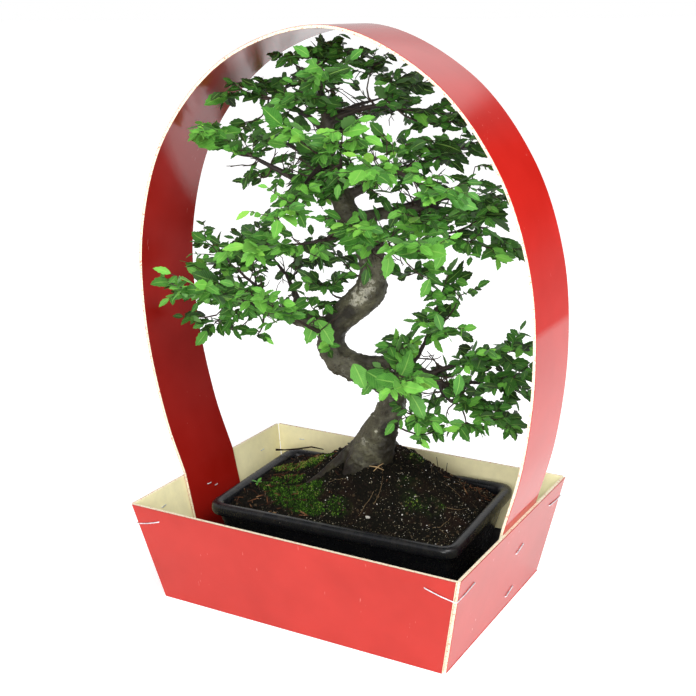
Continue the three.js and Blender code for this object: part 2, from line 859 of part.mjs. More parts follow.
// A leafy shoot: a thin twig that bends a little, with leaves set alternately and one at its end
function shoot(seat, index) {
  const upward = vec(0, 0, 1);
  for (let attempt = 0; attempt < SHOOT.tries; attempt++) {
    const wander = (axis) => spread(0.05 * attempt, index, attempt, axis);
    const way = seat.way.clone().add(vec(wander(1), wander(2), wander(3))).normalize();
    const length = SHOOT.length * seat.length * (1 - 0.02 * attempt) * (1 + spread(0.1, index, 4));
    const bend = vec(spread(0.2, index, 5), spread(0.2, index, 6), SHOOT.rise + spread(0.22, index, 7));
    const start = seat.from.clone().addScaledVector(seat.way, GAP);
    const points = [start];
    for (let i = 1; i <= SHOOT.segments; i++) {
      const t = i / SHOOT.segments;
      const swing = seat.way.clone().lerp(way, t);
      points.push(
        start.clone().addScaledVector(swing, length * t).addScaledVector(bend, length * SHOOT.bend * t * t),
      );
    }
    const clear = [points[0].clone().lerp(points[1], 0.2), ...points.slice(1)];
    const guard = rod(clear, SHOOT.radius + SHOOT.clear, 4);
    if (!insideArch(points[points.length - 1]) || !isFree(guard)) continue;
    let body = loft(ringsAlong(points, points.map((_, i) => SHOOT.radius * (1 - SHOOT.taper * i)), 3));
    if (!isFree(body)) continue;
    const own = [];
    const line = new THREE.CatmullRomCurve3(points);
    for (let k = 0; k < SHOOT.leaves; k++) {
      const last = k === SHOOT.leaves - 1;
      const t = last ? SHOOT.lastLeaf : SHOOT.firstLeaf + (0.82 * k) / (SHOOT.leaves - 1);
      const at = line.getPoint(t);
      const along = line.getTangent(t);
      const base = along.clone().cross(upward).normalize();
      const hand = k % 2 ? 1 : -1;
      for (let turn = 0; turn < LEAF.tries; turn++) {
        const keys = [index, k, turn];
        const angle = rad(last ? spread(16, ...keys, 1) : LEAF.spread + spread(14, ...keys, 1));
        const droop = spread(0.4, ...keys, 2) - LEAF.sag;
        const out = along
          .clone()
          .multiplyScalar(Math.cos(angle))
          .addScaledVector(base, hand * Math.sin(angle))
          .addScaledVector(upward, droop)
          .normalize();
        const [right, back, up] = LEAF.facing;
        const face = vec(right + spread(0.7, ...keys, 3), back + spread(0.7, ...keys, 4), up);
        face.addScaledVector(out, -face.dot(out)).normalize();
        const size = LEAF.length * (1 - 0.16 * Math.abs(t - 0.55) + spread(0.14, ...keys, 5));
        if (!insideArch(at.clone().addScaledVector(out, size))) continue;
        const root = at.clone().addScaledVector(out, LEAF.root);
        const wide = leaf(root.clone().addScaledVector(out, 2), out, face, size, LEAF.clear);
        const blade = leaf(root, out, face, size);
        if (!isFree(wide) || !isFree(wide, own)) continue;
        own.push({ solid: blade, box: blade.boundingBox() });
        body = body.add(blade);
        break;
      }
    }
    return { body, leaves: own.length };
  }
  return null;
}

// Assembly
const group = new THREE.Group();
function place(name, solid, colour, roughness, metalness = 0) {
  const mesh = solid.getMesh();
  const points = [];
  for (let i = 0; i < mesh.numVert; i++) {
    const [x, y, z] = mesh.vertProperties.subarray(i * mesh.numProp, i * mesh.numProp + 3);
    points.push(vec(x, y, z));
  }
  const geometry = new THREE.BufferGeometry().setFromPoints(points);
  geometry.setIndex(Array.from(mesh.triVerts));
  geometry.computeVertexNormals();
  const material = new THREE.MeshStandardMaterial({ color: colour, roughness, metalness });
  const node = new THREE.Mesh(geometry, material);
  node.name = name;
  group.add(node);
}

const staples = {};
for (const [nameX, signX] of [["left", -1], ["right", 1]]) {
  for (const [nameY, signY] of [["front", -1], ["back", 1]]) {
    staples[`corner_wire_${nameY}_${nameX}`] = cornerWire(signX, signY);
  }
}
for (const [name, spec] of Object.entries(HOOP_STAPLES)) staples[`hoop_staple_${name}`] = hoopStaple(spec);

const bored = (solid) =>
  bores.reduce((body, line) => body.subtract(rod(line, WIRE.bore, WIRE.sides)), solid);
const boards = {
  crate_front_wall: bored(wall(true, -1)),
  crate_back_wall: bored(wall(true, 1)),
  crate_left_wall: bored(wall(false, -1)),
  crate_right_wall: bored(wall(false, 1)),
  hoop_handle: bored(hoop()),
};
const earth = setPot(soilBlock()).subtract(foot(GAP));
const { wood, seats } = grow();

claim(boards.hoop_handle);
claim(boards.crate_right_wall);
claim(boards.crate_back_wall);
claim(earth);
claim(wood);

place("crate_floor", crateFloor(), COLOUR.red, 0.5);
for (const [name, solid] of Object.entries(boards)) place(name, solid, COLOUR.red, 0.4);
for (const [name, solid] of Object.entries(staples)) place(name, solid, COLOUR.steel, 0.35, 1);
place("drip_tray", tray(), COLOUR.black, 0.45);
place("pot", setPot(pot()), COLOUR.black, 0.4);
place("soil", earth, COLOUR.earth, 0.95);
place("tree_wood", wood, COLOUR.bark, 0.85);

let count = 0;
let leafCount = 0;
for (const [i, seat] of seats.entries()) {
  const grown = shoot(seat, i);
  if (!grown) continue;
  claim(grown.body);
  count += 1;
  leafCount += grown.leaves;
  place(`leaf_spray_${String(count).padStart(2, "0")}`, grown.body, COLOUR.leaf, 0.5);
}
console.log(`${count} sprays with ${leafCount} leaves`);

export default group;
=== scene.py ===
"""The looks of a small elm-leaved bonsai in a black pot, inside a red board crate with a wide hoop."""

import math
import random

import bmesh
import bpy
from mathutils import Matrix, Vector, noise
from mathutils.bvhtree import BVHTree


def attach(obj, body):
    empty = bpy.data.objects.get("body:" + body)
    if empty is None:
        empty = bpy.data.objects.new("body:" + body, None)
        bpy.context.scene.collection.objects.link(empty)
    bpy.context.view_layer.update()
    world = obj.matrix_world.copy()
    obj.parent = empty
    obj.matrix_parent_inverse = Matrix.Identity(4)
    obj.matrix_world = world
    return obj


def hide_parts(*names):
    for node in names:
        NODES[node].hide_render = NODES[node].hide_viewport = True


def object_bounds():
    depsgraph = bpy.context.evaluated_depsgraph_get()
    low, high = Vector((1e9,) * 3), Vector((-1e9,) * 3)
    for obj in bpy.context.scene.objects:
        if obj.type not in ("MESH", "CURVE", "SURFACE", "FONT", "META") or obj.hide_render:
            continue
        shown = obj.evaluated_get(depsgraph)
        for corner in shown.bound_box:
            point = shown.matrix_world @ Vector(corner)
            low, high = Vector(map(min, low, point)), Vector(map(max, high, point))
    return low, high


bl_info = {
    "name": "Elm-leaved bonsai in a gift crate",
    "version": (1, 0, 0),
    "blender": (4, 5, 0),
    "location": "3D View > Sidebar > Bonsai",
    "description": "Builds the crate, pot, soil, trunk and leaves round the packed frame",
    "category": "Object",
}

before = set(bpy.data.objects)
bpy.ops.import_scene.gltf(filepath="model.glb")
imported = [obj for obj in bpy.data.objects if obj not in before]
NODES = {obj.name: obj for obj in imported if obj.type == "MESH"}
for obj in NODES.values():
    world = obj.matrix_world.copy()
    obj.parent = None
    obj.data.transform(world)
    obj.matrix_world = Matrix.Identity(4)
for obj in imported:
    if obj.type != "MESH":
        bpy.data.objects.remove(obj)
CAD_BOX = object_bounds()
MM = 0.001
MERGE = 1e-6  # points closer than this are one
COPIES_AT_ONCE = 50  # many small joins are faster than one long one
OVERHEAD = 200.0  # above all of the soil, in millimetres
CRISP = math.radians(20)  # edges that bend more than this stay sharp

# Crate, in millimetres
GAP = 0.3
CRATE_HEIGHT = 98.4
BOARD = 3.0
BASE_HALF = (150.2, 111.6)
MOUTH_HALF = (170.0, 129.4)
FOOT_Z = BOARD + GAP
HOOP_WIDTH = 82.0
HOOP_MIDDLE = 2.5
HOOP_SKEW = 0.062
HOOP_BOW = [
    (-187, 159), (-204, 252), (-202, 346), (-171, 435), (-100, 507), (0, 533),
    (94, 491), (153, 420), (183, 339), (191, 254), (183, 165),
]
WIRE_STAND = 0.75  # wire centre off the board's face
# Corner wires: height on the long wall, on the end wall and at the corner, and reach along either wall
CORNER_Z = (86, 81, 78)
CORNER_REACH = (30, 36)
CORNER_CLINCH = 6.0
CORNER_SAG = Vector((0, 0, -1.2))
# Hoop staples: side, middle along the wall, height and rise from one leg to the other
STAPLES = {
    "right_upper": (1, 23, 63, 5),
    "right_lower": (1, 23, 17, 5),
    "left_upper": (-1, -12, 78, -5),
    "left_lower": (-1, -12, 20, -5),
}
STAPLE_CROWN = 15.0
STAPLE_CLINCH = 4.8

# Pot, in millimetres
TRAY_HEIGHT = 31.0
TRAY_SHEET = 1.2
POT_BASE = FOOT_Z + TRAY_SHEET + GAP
POT_RIM = POT_BASE + 80.0
POT_HALF = (129.4, 85.6)
POT_YAW = 3.3
POT_CENTRE = (-2.3, 24.6)
RIM_INSET = 13  # from the rim outline to the soil
# From the pot's underside round its rolled rim to its floor: inset from the rim's outline, height
POT_SECTION = [
    (70, 5), (40, 5), (26.4, 5.1), (24, 6.2), (22.7, 8.5), (21.1, 12), (14.2, 40), (8.0, 62), (7.0, 65.6),
    (6.0, 67.2), (3.4, 68), (1.2, 69), (0.15, 71), (0, 73.5), (0.1, 76), (0.8, 78.2), (2.4, 79.6), (4.6, 80),
    (7.2, 79.7), (9.4, 78.7), (10.8, 77), (11.4, 74), (12.6, 66), (17.6, 40), (23.2, 12.5), (25.4, 10.2),
    (30, 10), (70, 10),
]

# Camera and its frame
IMAGE_SIDE = 696
LENS_PIXELS = 1176.5
CAMERA_PLACE = (517.26, -921.84, 544.56)
CAMERA_YAW = -29.50
CAMERA_PITCH = 16.02
CAMERA_ROLL = -0.615

# Light: where the lamps stand, in metres, and the surround's brightness by height
LAMPS = (("key", (0.9, -2.2, 0.8)), ("overhead", (1.1, -0.8, 1.7)))
LAMP_SIZE = 1.0
LAMP_AIM = Vector((0, 0, 0.25))
SKY = ((0.02, 1.0), (0.08, 0.6), (0.36, 0.6), (0.40, 1.0), (0.60, 1.0), (0.70, 0.5))
FLAG_SIDE = (0.6, 0.8, 0.0)
FLOOR_HALF = 60.0  # half the floor's side, in metres


def linear(code):
    """The linear colour of an sRGB hex value."""
    parts = [int(code[i:i + 2], 16) / 255 for i in (1, 3, 5)]
    return tuple(c / 12.92 if c <= 0.04045 else ((c + 0.055) / 1.055) ** 2.4 for c in parts)


def per_mm(size):
    """The pattern scale on Object coordinates that gives features of this size in millimetres."""
    return 1 / (size * MM)


def colour(name, text, code):
    return bpy.props.FloatVectorProperty(name=name, description=text, subtype="COLOR", size=3, min=0, max=1,
                                         default=linear(code))


def length(name, text, value):
    """A length in metres whose default is given in millimetres."""
    return bpy.props.FloatProperty(name=name, description=text, default=value * MM, unit="LENGTH",
                                   subtype="DISTANCE", precision=4)


def strength(name, text, value, unit="NONE"):
    return bpy.props.FloatProperty(name=name, description=text, default=value, unit=unit)


def count(name, text, value):
    return bpy.props.IntProperty(name=name, description=text, default=value, min=0)


class CrateSettings(bpy.types.PropertyGroup):
    """Sizes and colours of the crate, its hoop and its wires"""
    film: colour("Film", "Red film on the crate's outer faces", "#B0261C")
    hoop_film: colour("Hoop film", "Red film on both faces of the hoop", "#B51A10")
    inside: colour("Inside", "Cream lacquer on the crate's inner faces", "#FEF5C4")
    edge: colour("Raw edge", "Bare board along the cut edges", "#F3EAD2")
    arris: length("Arris", "Rounding of the boards' cut edges", 0.4)
    wire: length("Wire radius", "Radius of the staples' wire", 0.55)


class PotSettings(bpy.types.PropertyGroup):
    """Colours of the pot and its drip tray"""
    plastic: colour("Plastic", "Moulded black plastic", "#131418")
    dust: colour("Dust", "Dried dust on the plastic", "#6E675C")


class GroundSettings(bpy.types.PropertyGroup):
    """The soil and all that lies on it"""
    earth: colour("Earth", "Damp peat soil", "#0C0B06")
    moss: colour("Moss", "Fresh moss", "#1F390C")
    voxel: length("Soil detail", "Size of the soil's finest lumps", 1.9)
    lumps: length("Lumps", "Height of the soil's lumps", 1.6)
    heap: length("Heap", "Soil heaped up against the rim on the left", 5)
    bank: length("Bank", "Soil banked up against the trunk's foot", 9)
    crumbs: count("Crumbs", "Loose crumbs of soil", 2300)
    grit: count("Grit", "White specks of perlite", 200)
    grains: count("Grains", "Small pale grains of sand and bark", 2600)
    tufts: count("Moss tufts", "Tufts of three pointed moss shoots", 3000)
    sticks: count("Sticks", "Bits of bark and dry twig", 230)
    fibres: count("Fibres", "Fine pale roots on the surface", 15)


class TreeSettings(bpy.types.PropertyGroup):
    """The trunk, the branches and the bare twigs"""
    bark: colour("Bark", "Grey-brown bark", "#4A4837")
    bark_dark: colour("Dark bark", "Shaded and wet bark", "#252213")
    twig: colour("Twig", "Thin dark twigs", "#33261F")
    voxel: length("Bark detail", "Size of the bark's finest relief", 1.15)
    relief: length("Relief", "Height of the bark's relief", 0.9)
    twigs: count("Bare twigs", "Short bare twigs between the leaves", 240)


class LeafSettings(bpy.types.PropertyGroup):
    """The leaves and the fine shoots that carry them"""
    dark: colour("Dark leaf", "Old leaves in the shade", "#14250C")
    green: colour("Leaf", "Full-grown leaves", "#3D772B")
    bright: colour("Bright leaf", "Young leaves in the light", "#6CB043")
    under: colour("Underside", "Dull underside", "#5C8B45")
    side_twigs: count("Side twigs", "Side twigs on each shoot", 8)
    spurs: count("Spurs", "Leafy spurs on the branches", 180)


class StageSettings(bpy.types.PropertyGroup):
    """The floor, the lights and the camera"""
    floor: colour("Floor", "Pale floor", "#FAFAFA")
    sky: colour("Surround", "Light that comes from all round", "#FFFFFF")
    key: strength("Key light", "Power of the key light", 30, "POWER")
    overhead: strength("Overhead light", "Power of the softbox overhead", 26, "POWER")
    fill: strength("Surround strength", "Strength of the light from all round", 1.0)
    table: strength("Table glow", "Light that comes through the pale floor", 0.45)


# Meshes
def as_mesh(bm, name="part"):
    """A bmesh shape as a mesh. The shape itself is freed."""
    mesh = bpy.data.meshes.new(name)
    bm.to_mesh(mesh)
    bm.free()
    return mesh


def take_in(bm, mesh):
    """Adds a mesh to a shape. The mesh itself is removed."""
    bm.from_mesh(mesh)
    bpy.data.meshes.remove(mesh)
    return bm


def linked(name, data):
    """A new object at the origin."""
    made = bpy.data.objects.new(name, data)
    bpy.context.scene.collection.objects.link(made)
    return made


def evaluated(data, voxel=0.0):
    """The shape of a curve, or that of a mesh once it is remeshed with voxels of this size."""
    holder = linked("holder", data)
    if voxel:
        even = holder.modifiers.new("even", "REMESH")
        even.mode = "VOXEL"
        even.voxel_size = voxel
    bpy.context.view_layer.update()
    mesh = bpy.data.meshes.new_from_object(holder.evaluated_get(bpy.context.evaluated_depsgraph_get()))
    bpy.data.objects.remove(holder)
    return take_in(bmesh.new(), mesh)


def finish(bm, name, materials, slot, *replaced, smooth=True):
    """Makes the piece's object at the origin, with its materials, and gives it to the frame."""
    mesh = as_mesh(bm, name)
    for made in materials:
        mesh.materials.append(made)
    mesh.polygons.foreach_set("use_smooth", [smooth] * len(mesh.polygons))
    piece = linked(name, mesh)
    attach(piece, "root")
    if replaced:
        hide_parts(*replaced)


def closed(bm):
    """Fills the shape's holes, turns its faces outwards and refreshes its normals."""
    bmesh.ops.holes_fill(bm, edges=[e for e in bm.edges if e.is_boundary], sides=0)
    bmesh.ops.recalc_face_normals(bm, faces=bm.faces)
    if bm.calc_volume(signed=True) < 0:
        bmesh.ops.reverse_faces(bm, faces=bm.faces)
    bm.normal_update()


def rounded_edges(bm, edges, radius, segments):
    bmesh.ops.bevel(bm, geom=edges, offset=radius, affect="EDGES", segments=segments, profile=0.5, material=-1)


def placed_grid(columns, rows, place):
    """A sheet of columns by rows faces. place(u, v) gives each point in millimetres, and points that meet
    are merged, so a sheet that goes round closes."""
    bm = bmesh.new()
    bmesh.ops.create_grid(bm, x_segments=columns, y_segments=rows, size=0.5)
    for v in bm.verts:
        v.co = Vector(place(v.co.x + 0.5, v.co.y + 0.5)) * MM
    bmesh.ops.remove_doubles(bm, verts=bm.verts, dist=MERGE)
    bmesh.ops.recalc_face_normals(bm, faces=bm.faces)
    return bm


def rounded_outline(half_x, half_y, radius, u):
    """The point at share u round a rectangle with rounded corners, and evenly spaced along its sides."""
    straight = [2 * (half_y - radius), 2 * (half_x - radius)]
    bend = math.pi * radius / 2
    s = (u % 1) * (2 * sum(straight) + 4 * bend)
    # corners, and the way along the side that leads to each
    corners = [(1, 1, 0, 1), (-1, 1, -1, 0), (-1, -1, 0, -1), (1, -1, 1, 0)]
    for k, (sx, sy, dx, dy) in enumerate(corners):
        run = straight[k % 2]
        if s <= run:
            return sx * half_x - dx * (radius + run - s), sy * half_y - dy * (radius + run - s)
        s -= run
        if s <= bend:
            angle = math.pi / 2 * k + s / radius
            return (sx * (half_x - radius) + radius * math.cos(angle),
                    sy * (half_y - radius) + radius * math.sin(angle))
        s -= bend
    return half_x, -half_y + radius


def tubes(lines, sides=6):
    """A mesh of round tubes. Each line is a list of (point in metres, radius in metres)."""
    curve = bpy.data.curves.new("lines", "CURVE")
    curve.dimensions = "3D"
    curve.bevel_depth = MM
    curve.bevel_resolution = max(0, sides // 2 - 2)
    curve.use_fill_caps = True
    for line in lines:
        spline = curve.splines.new("POLY")
        spline.points.add(len(line) - 1)
        for point, (place, radius) in zip(spline.points, line):
            point.co = (*place, 1)
            point.radius = radius / MM
    bm = evaluated(curve)
    bpy.data.curves.remove(curve)
    return bm


def copies(places):
    """Joins one copy of a small mesh for each (mesh, matrix, tone)."""
    whole = bmesh.new()
    for start in range(0, len(places), COPIES_AT_ONCE):
        part = bmesh.new()
        for template, matrix, tone in places[start:start + COPIES_AT_ONCE]:
            first = len(part.verts)
            part.from_mesh(template)
            part.verts.ensure_lookup_table()
            layer = part.verts.layers.float["tone"]
            for v in part.verts[first:]:
                v.co = matrix @ v.co
                v[layer] = tone
        take_in(whole, as_mesh(part))
    return whole


def toned(bm, tone):
    """Gives each vertex of the shape its tone, which follows from its place."""
    layer = bm.verts.layers.float.new("tone")
    for v in bm.verts:
        v[layer] = tone(v.co)
    return bm


def small_mesh(bm):
    """The mesh of a shape that is going to be repeated."""
    return as_mesh(toned(bm, lambda place: 0.0), "template")


def shape_of(piece):
    bm = bmesh.new()
    bm.from_mesh(piece.data)
    return bm


def merged_copy(node):
    bm = shape_of(NODES[node])
    bmesh.ops.remove_doubles(bm, verts=bm.verts, dist=MERGE)
    return bm


def remeshed(bm, voxel):
    """The same solid with even small faces."""
    mesh = as_mesh(bm, "coarse")
    fine = evaluated(mesh, voxel)
    bpy.data.meshes.remove(mesh)
    return fine


def smoothed(bm, verts, rounds=1):
    """Evens out these vertices and refreshes the normals."""
    for _ in range(rounds):
        bmesh.ops.smooth_vert(bm, verts=verts, factor=0.5, use_axis_x=True, use_axis_y=True, use_axis_z=True)
    bm.normal_update()


def fractal(place, size, octaves=3):
    """Noise between about -1 and 1 with features of this size in millimetres."""
    return noise.fractal(place * per_mm(size), 1.0, 2.0, octaves)


def limited(value, low=0.0, high=1.0):
    return max(low, min(high, value))


def turned(direction, up):
    """A rotation whose x axis runs along direction and whose z axis leans to up."""
    x = direction.normalized()
    y = up.cross(x).normalized()
    z = x.cross(y)
    return Matrix((x, y, z)).transposed().to_4x4()


# Materials
def times(tone, share):
    """A colour made darker or lighter."""
    return tuple(min(1, c * share) for c in tone)


class Nodes:
    """A node tree that is put together. A socket takes a number, a colour, a node or another node's output."""

    def __init__(self, tree):
        self.tree = tree
        self.place = None

    def feed(self, socket, value):
        if hasattr(value, "outputs"):
            value = value.outputs[0]
        if hasattr(value, "is_output"):
            self.tree.links.new(value, socket)
        elif socket.type == "RGBA":
            socket.default_value = (*(linear(value) if isinstance(value, str) else value), 1)
        else:
            socket.default_value = value

    def add(self, kind, *inputs, **values):
        """Adds a node. Inputs go to its first sockets, capital names are sockets and the rest are properties."""
        node = self.tree.nodes.new("ShaderNode" + kind)
        for key, value in values.items():
            if key.islower():
                setattr(node, key, value)
            else:
                self.feed(node.inputs[key], value)
        for socket, value in zip(node.inputs, inputs):
            self.feed(socket, value)
        return node

    def at(self):
        """Where a point lies on its object."""
        if self.place is None:
            self.place = self.add("TexCoord").outputs["Object"]
        return self.place

    def attribute(self, name):
        return self.add("Attribute", attribute_name=name).outputs["Fac"]

    def noise(self, size, detail, rough=0.5, at=None):
        """Noise with features of this size in millimetres."""
        return self.add("TexNoise", self.at() if at is None else at, Scale=per_mm(size), Detail=detail,
                        Roughness=rough)

    def cells(self, size):
        return self.add("TexVoronoi", self.at(), Scale=per_mm(size))

    def maths(self, operation, *inputs):
        return self.add("Math", *inputs, operation=operation)

    def mix(self, factor, under, over):
        return self.add("MixRGB", factor, under, over)

    def ramp(self, factor, *stops):
        """Colours or numbers by their positions."""
        node = self.add("ValToRGB", factor)
        elements = node.color_ramp.elements
        while len(elements) < len(stops):
            elements.new(1)
        for element, (position, value) in zip(elements, stops):
            if isinstance(value, str):
                value = linear(value)
            element.position = position
            element.color = (*value, 1) if hasattr(value, "__len__") else (value, value, value, 1)
        return node


class Skin(Nodes):
    """A node material. The sockets of its shader are named with _ for a space."""

    def __init__(self, name, roughness, **sockets):
        self.made = bpy.data.materials.new(name)
        self.made.use_nodes = True
        super().__init__(self.made.node_tree)
        self.set(Roughness=roughness, **sockets)

    def set(self, **sockets):
        shader = self.tree.nodes["Principled BSDF"]
        for key, value in sockets.items():
            self.feed(shader.inputs[key.replace("_", " ")], value)

    def bumped(self, tint, height, amount, depth, **properties):
        """Sets the colour and a relief of this depth in millimetres, and gives the material."""
        relief = self.add("Bump", Strength=amount, Distance=depth * MM, Height=height, **properties)
        self.set(Base_Color=tint, Normal=relief)
        return self.made


def film_material(name, red, shine, wear, lean=0.0, blur=0.1):
    # Board faced with a printed gloss film: smooth, evenly red, with a few fine scratches. Its shine is
    # given by height in metres, as hands and packing rub it matt in places; lean tilts that line with depth
    skin = Skin(name, 0.34, Coat_Roughness=blur, Coat_IOR=1.5, IOR=1.3, Specular_IOR_Level=0.1)
    place = skin.add("SeparateXYZ", skin.at())
    height = skin.maths("MULTIPLY_ADD", place.outputs["Y"], lean, place.outputs["Z"])
    skin.set(Coat_Weight=skin.ramp(height, *shine))
    tint = skin.ramp(skin.noise(55, 3), (0.3, times(red, 0.9)), (0.7, tuple(min(1, c * 1.06 + 0.004) for c in red)))
    stretch = skin.add("Mapping", skin.at(), Scale=(1.0, 1.0, 0.06), Rotation=(0.5, 0.7, 0.3))
    scratch = skin.ramp(skin.noise(1.6, 1, at=stretch), (0.71, 0.0), (0.74, wear))
    patch = skin.ramp(skin.noise(26, 2), (0.62, 0.0), (0.68, 1.0))
    worn = skin.mix(skin.maths("MULTIPLY", scratch, patch), tint, "#F4B7AE")
    return skin.bumped(worn, skin.noise(18, 2), 0.12, 0.4)


def cream_material(settings):
    # Cream lacquered paper face of the board: matt, slightly mottled, with faint scuffs
    skin = Skin("crate_inside_lacquered_paper", 0.55, IOR=1.45)
    tint = skin.ramp(skin.noise(14, 5, 0.6), (0.3, times(settings.inside, 0.88)), (0.68, settings.inside))
    return skin.bumped(tint, skin.noise(1.2, 2), 0.15, 0.2)


def edge_material(settings):
    # Sawn edge of the fibreboard: pale and fuzzy, with red crumbs of film and a ragged red outer line
    skin = Skin("board_sawn_edge", 0.8, IOR=1.4)
    grain, speck = skin.noise(1.4, 4, 0.7), skin.noise(2.1, 3, 0.65)
    dirty = tuple(c * f for c, f in zip(settings.edge, (0.8, 0.7, 0.6)))
    tint = skin.ramp(grain, (0.3, dirty), (0.6, settings.edge))
    dotted = skin.mix(skin.ramp(speck, (0.57, 0.0), (0.63, 0.8)), tint, "#C9604A")
    ragged = skin.maths("MULTIPLY_ADD", speck, 0.34, -0.17)
    line = skin.ramp(skin.maths("ADD", skin.attribute("ply"), ragged), (0.10, 1.0), (0.16, 0.0))
    return skin.bumped(skin.mix(line, dotted, settings.film), grain, 0.5, 0.4)


# Crate
def half_length(z):
    return BASE_HALF[0] + (MOUTH_HALF[0] - BASE_HALF[0]) * z / CRATE_HEIGHT


def half_depth(z):
    return BASE_HALF[1] + (MOUTH_HALF[1] - BASE_HALF[1]) * z / CRATE_HEIGHT


def inner_x(z):
    return half_length(z) - BOARD - GAP


def crate_wall(long_side, sign, arris):
    """One leaning board with softened arrises, and its share of thickness from outside kept as "ply"."""
    outer, end = (half_depth, half_length) if long_side else (half_length, half_depth)
    bm = bmesh.new()
    bmesh.ops.create_cube(bm, size=1)
    for v in bm.verts:
        along, through, up = v.co
        z = CRATE_HEIGHT * (up + 0.5)
        across = sign * (outer(z) - BOARD * (0.5 - through))
        run = 2 * along * (end(z) - BOARD - GAP / 2)
        v.co = Vector((run, across, z) if long_side else (across, run, z)) * MM
    rounded_edges(bm, bm.edges[:], arris, 2)
    closed(bm)
    ply = bm.verts.layers.float.new("ply")
    for v in bm.verts:
        v[ply] = (outer(v.co.z / MM) - abs(v.co.y if long_side else v.co.x) / MM) / BOARD
    outward = Vector((0, sign, 0) if long_side else (sign, 0, 0))
    for face in bm.faces:
        facing = face.normal.dot(outward)
        face.material_index = 0 if facing > 0.8 else 1 if facing < -0.8 else 2
    return bm


class BONSAI_OT_crate(bpy.types.Operator):
    """Four leaning boards with film outside, lacquered paper inside and raw edges, and the floor"""
    bl_idname = "bonsai.crate"
    bl_label = "Crate boards"

    def execute(self, context):
        settings = context.scene.bonsai_crate
        film = film_material("crate_gloss_film", settings.film, [(0.0, 0.5), (0.1, 0.5)], 0.25)
        faces = [cream_material(settings), edge_material(settings)]
        rubbed = film_material("crate_gloss_film_rubbed", settings.film, [(0.0, 0.45), (0.1, 0.65)], 1.0)
        for name, long_side, sign in (("front", True, -1), ("back", True, 1), ("left", False, -1),
                                      ("right", False, 1)):
            finish(crate_wall(long_side, sign, settings.arris), f"crate_{name}_board",
                   [film if long_side else rubbed, *faces], "crate_board", f"crate_{name}_wall", smooth=False)
        floor = NODES["crate_floor"]
        floor.data.materials.clear()
        floor.data.materials.append(faces[0])
        return {"FINISHED"}


# Hoop
def catmull(points, steps):
    """A smooth line through the points that doesn't overshoot where they are unevenly spaced."""
    first = points[0] * 2 - points[1]
    last = points[-1] * 2 - points[-2]
    padded = [first, *points, last]
    line = []
    for i in range(1, len(padded) - 2):
        p0, p1, p2, p3 = padded[i - 1:i + 3]
        t1 = (p1 - p0).length ** 0.5
        t2 = t1 + (p2 - p1).length ** 0.5
        t3 = t2 + (p3 - p2).length ** 0.5
        for k in range(steps):
            t = t1 + (t2 - t1) * k / steps
            a1 = p0 * ((t1 - t) / t1) + p1 * (t / t1)
            a2 = p1 * ((t2 - t) / (t2 - t1)) + p2 * ((t - t1) / (t2 - t1))
            a3 = p2 * ((t3 - t) / (t3 - t2)) + p3 * ((t - t2) / (t3 - t2))
            b1 = a1 * ((t2 - t) / t2) + a2 * (t / t2)
            b2 = a2 * ((t3 - t) / (t3 - t1)) + a3 * ((t - t1) / (t3 - t1))
            line.append(b1 * ((t2 - t) / (t2 - t1)) + b2 * ((t - t1) / (t2 - t1)))
    line.append(points[-1])
    return line


def hoop_outline():
    top = CRATE_HEIGHT + 2
    bow = [(-inner_x(top), top), *HOOP_BOW, (inner_x(top), top)]
    line = catmull([Vector((x, 0, z)) for x, z in bow], 12)
    feet = [Vector((-inner_x(FOOT_Z), 0, FOOT_Z)), Vector((inner_x(FOOT_Z), 0, FOOT_Z))]
    return [feet[0], *line, feet[1]]


def hoop_mesh(arris):
    """The board band. Its section is a flat rectangle that is carried along the outline."""
    line = hoop_outline()
    last = len(line) - 1
    inward = []
    for i, p in enumerate(line):
        along = (line[min(i + 1, last)] - line[max(i - 1, 0)]).normalized()
        inward.append(Vector((along.z, 0, -along.x)))
    half = HOOP_WIDTH / 2
    r = arris / MM
    # depth from the outer face, and place across the band
    section = [(0, -half + r), (r * 0.3, -half + r * 0.3), (r, -half), (BOARD / 2, -half), (BOARD - r, -half),
               (BOARD - r * 0.3, -half + r * 0.3), (BOARD, -half + r)]
    section += [(depth, -across) for depth, across in reversed(section)]
    sides = len(section)

    def place(u, v):
        i = round(u * last)
        depth, across = section[round(v * sides) % sides]
        p = line[i] + inward[i] * depth
        z = line[i].z if i in (0, last) else p.z
        return p.x, HOOP_MIDDLE + HOOP_SKEW * p.x + across, z

    bm = placed_grid(last, sides, place)
    closed(bm)
    ply = bm.verts.layers.float.new("ply")
    outer = [Vector((p.x, 0, p.z)) * MM for p in line]
    for v in bm.verts:
        near = min(range(len(outer)), key=lambda k: (v.co.x - outer[k].x) ** 2 + (v.co.z - outer[k].z) ** 2)
        flat = Vector((v.co.x, 0, v.co.z)) - outer[near]
        v[ply] = flat.dot(inward[near]) / MM / BOARD
    middle = Vector((0, 0, 0.3))
    for face in bm.faces:
        if abs(face.normal.y) > 0.55 or abs(face.calc_center_median().z - FOOT_Z * MM) < 1e-4:
            face.material_index = 2
        else:
            face.material_index = 0 if (face.calc_center_median() - middle).dot(face.normal) > 0 else 1
    # the bend is shaded smooth, and the arrises stay crisp
    for edge in bm.edges:
        if edge.is_manifold and edge.calc_face_angle() > CRISP:
            edge.smooth = False
    return bm


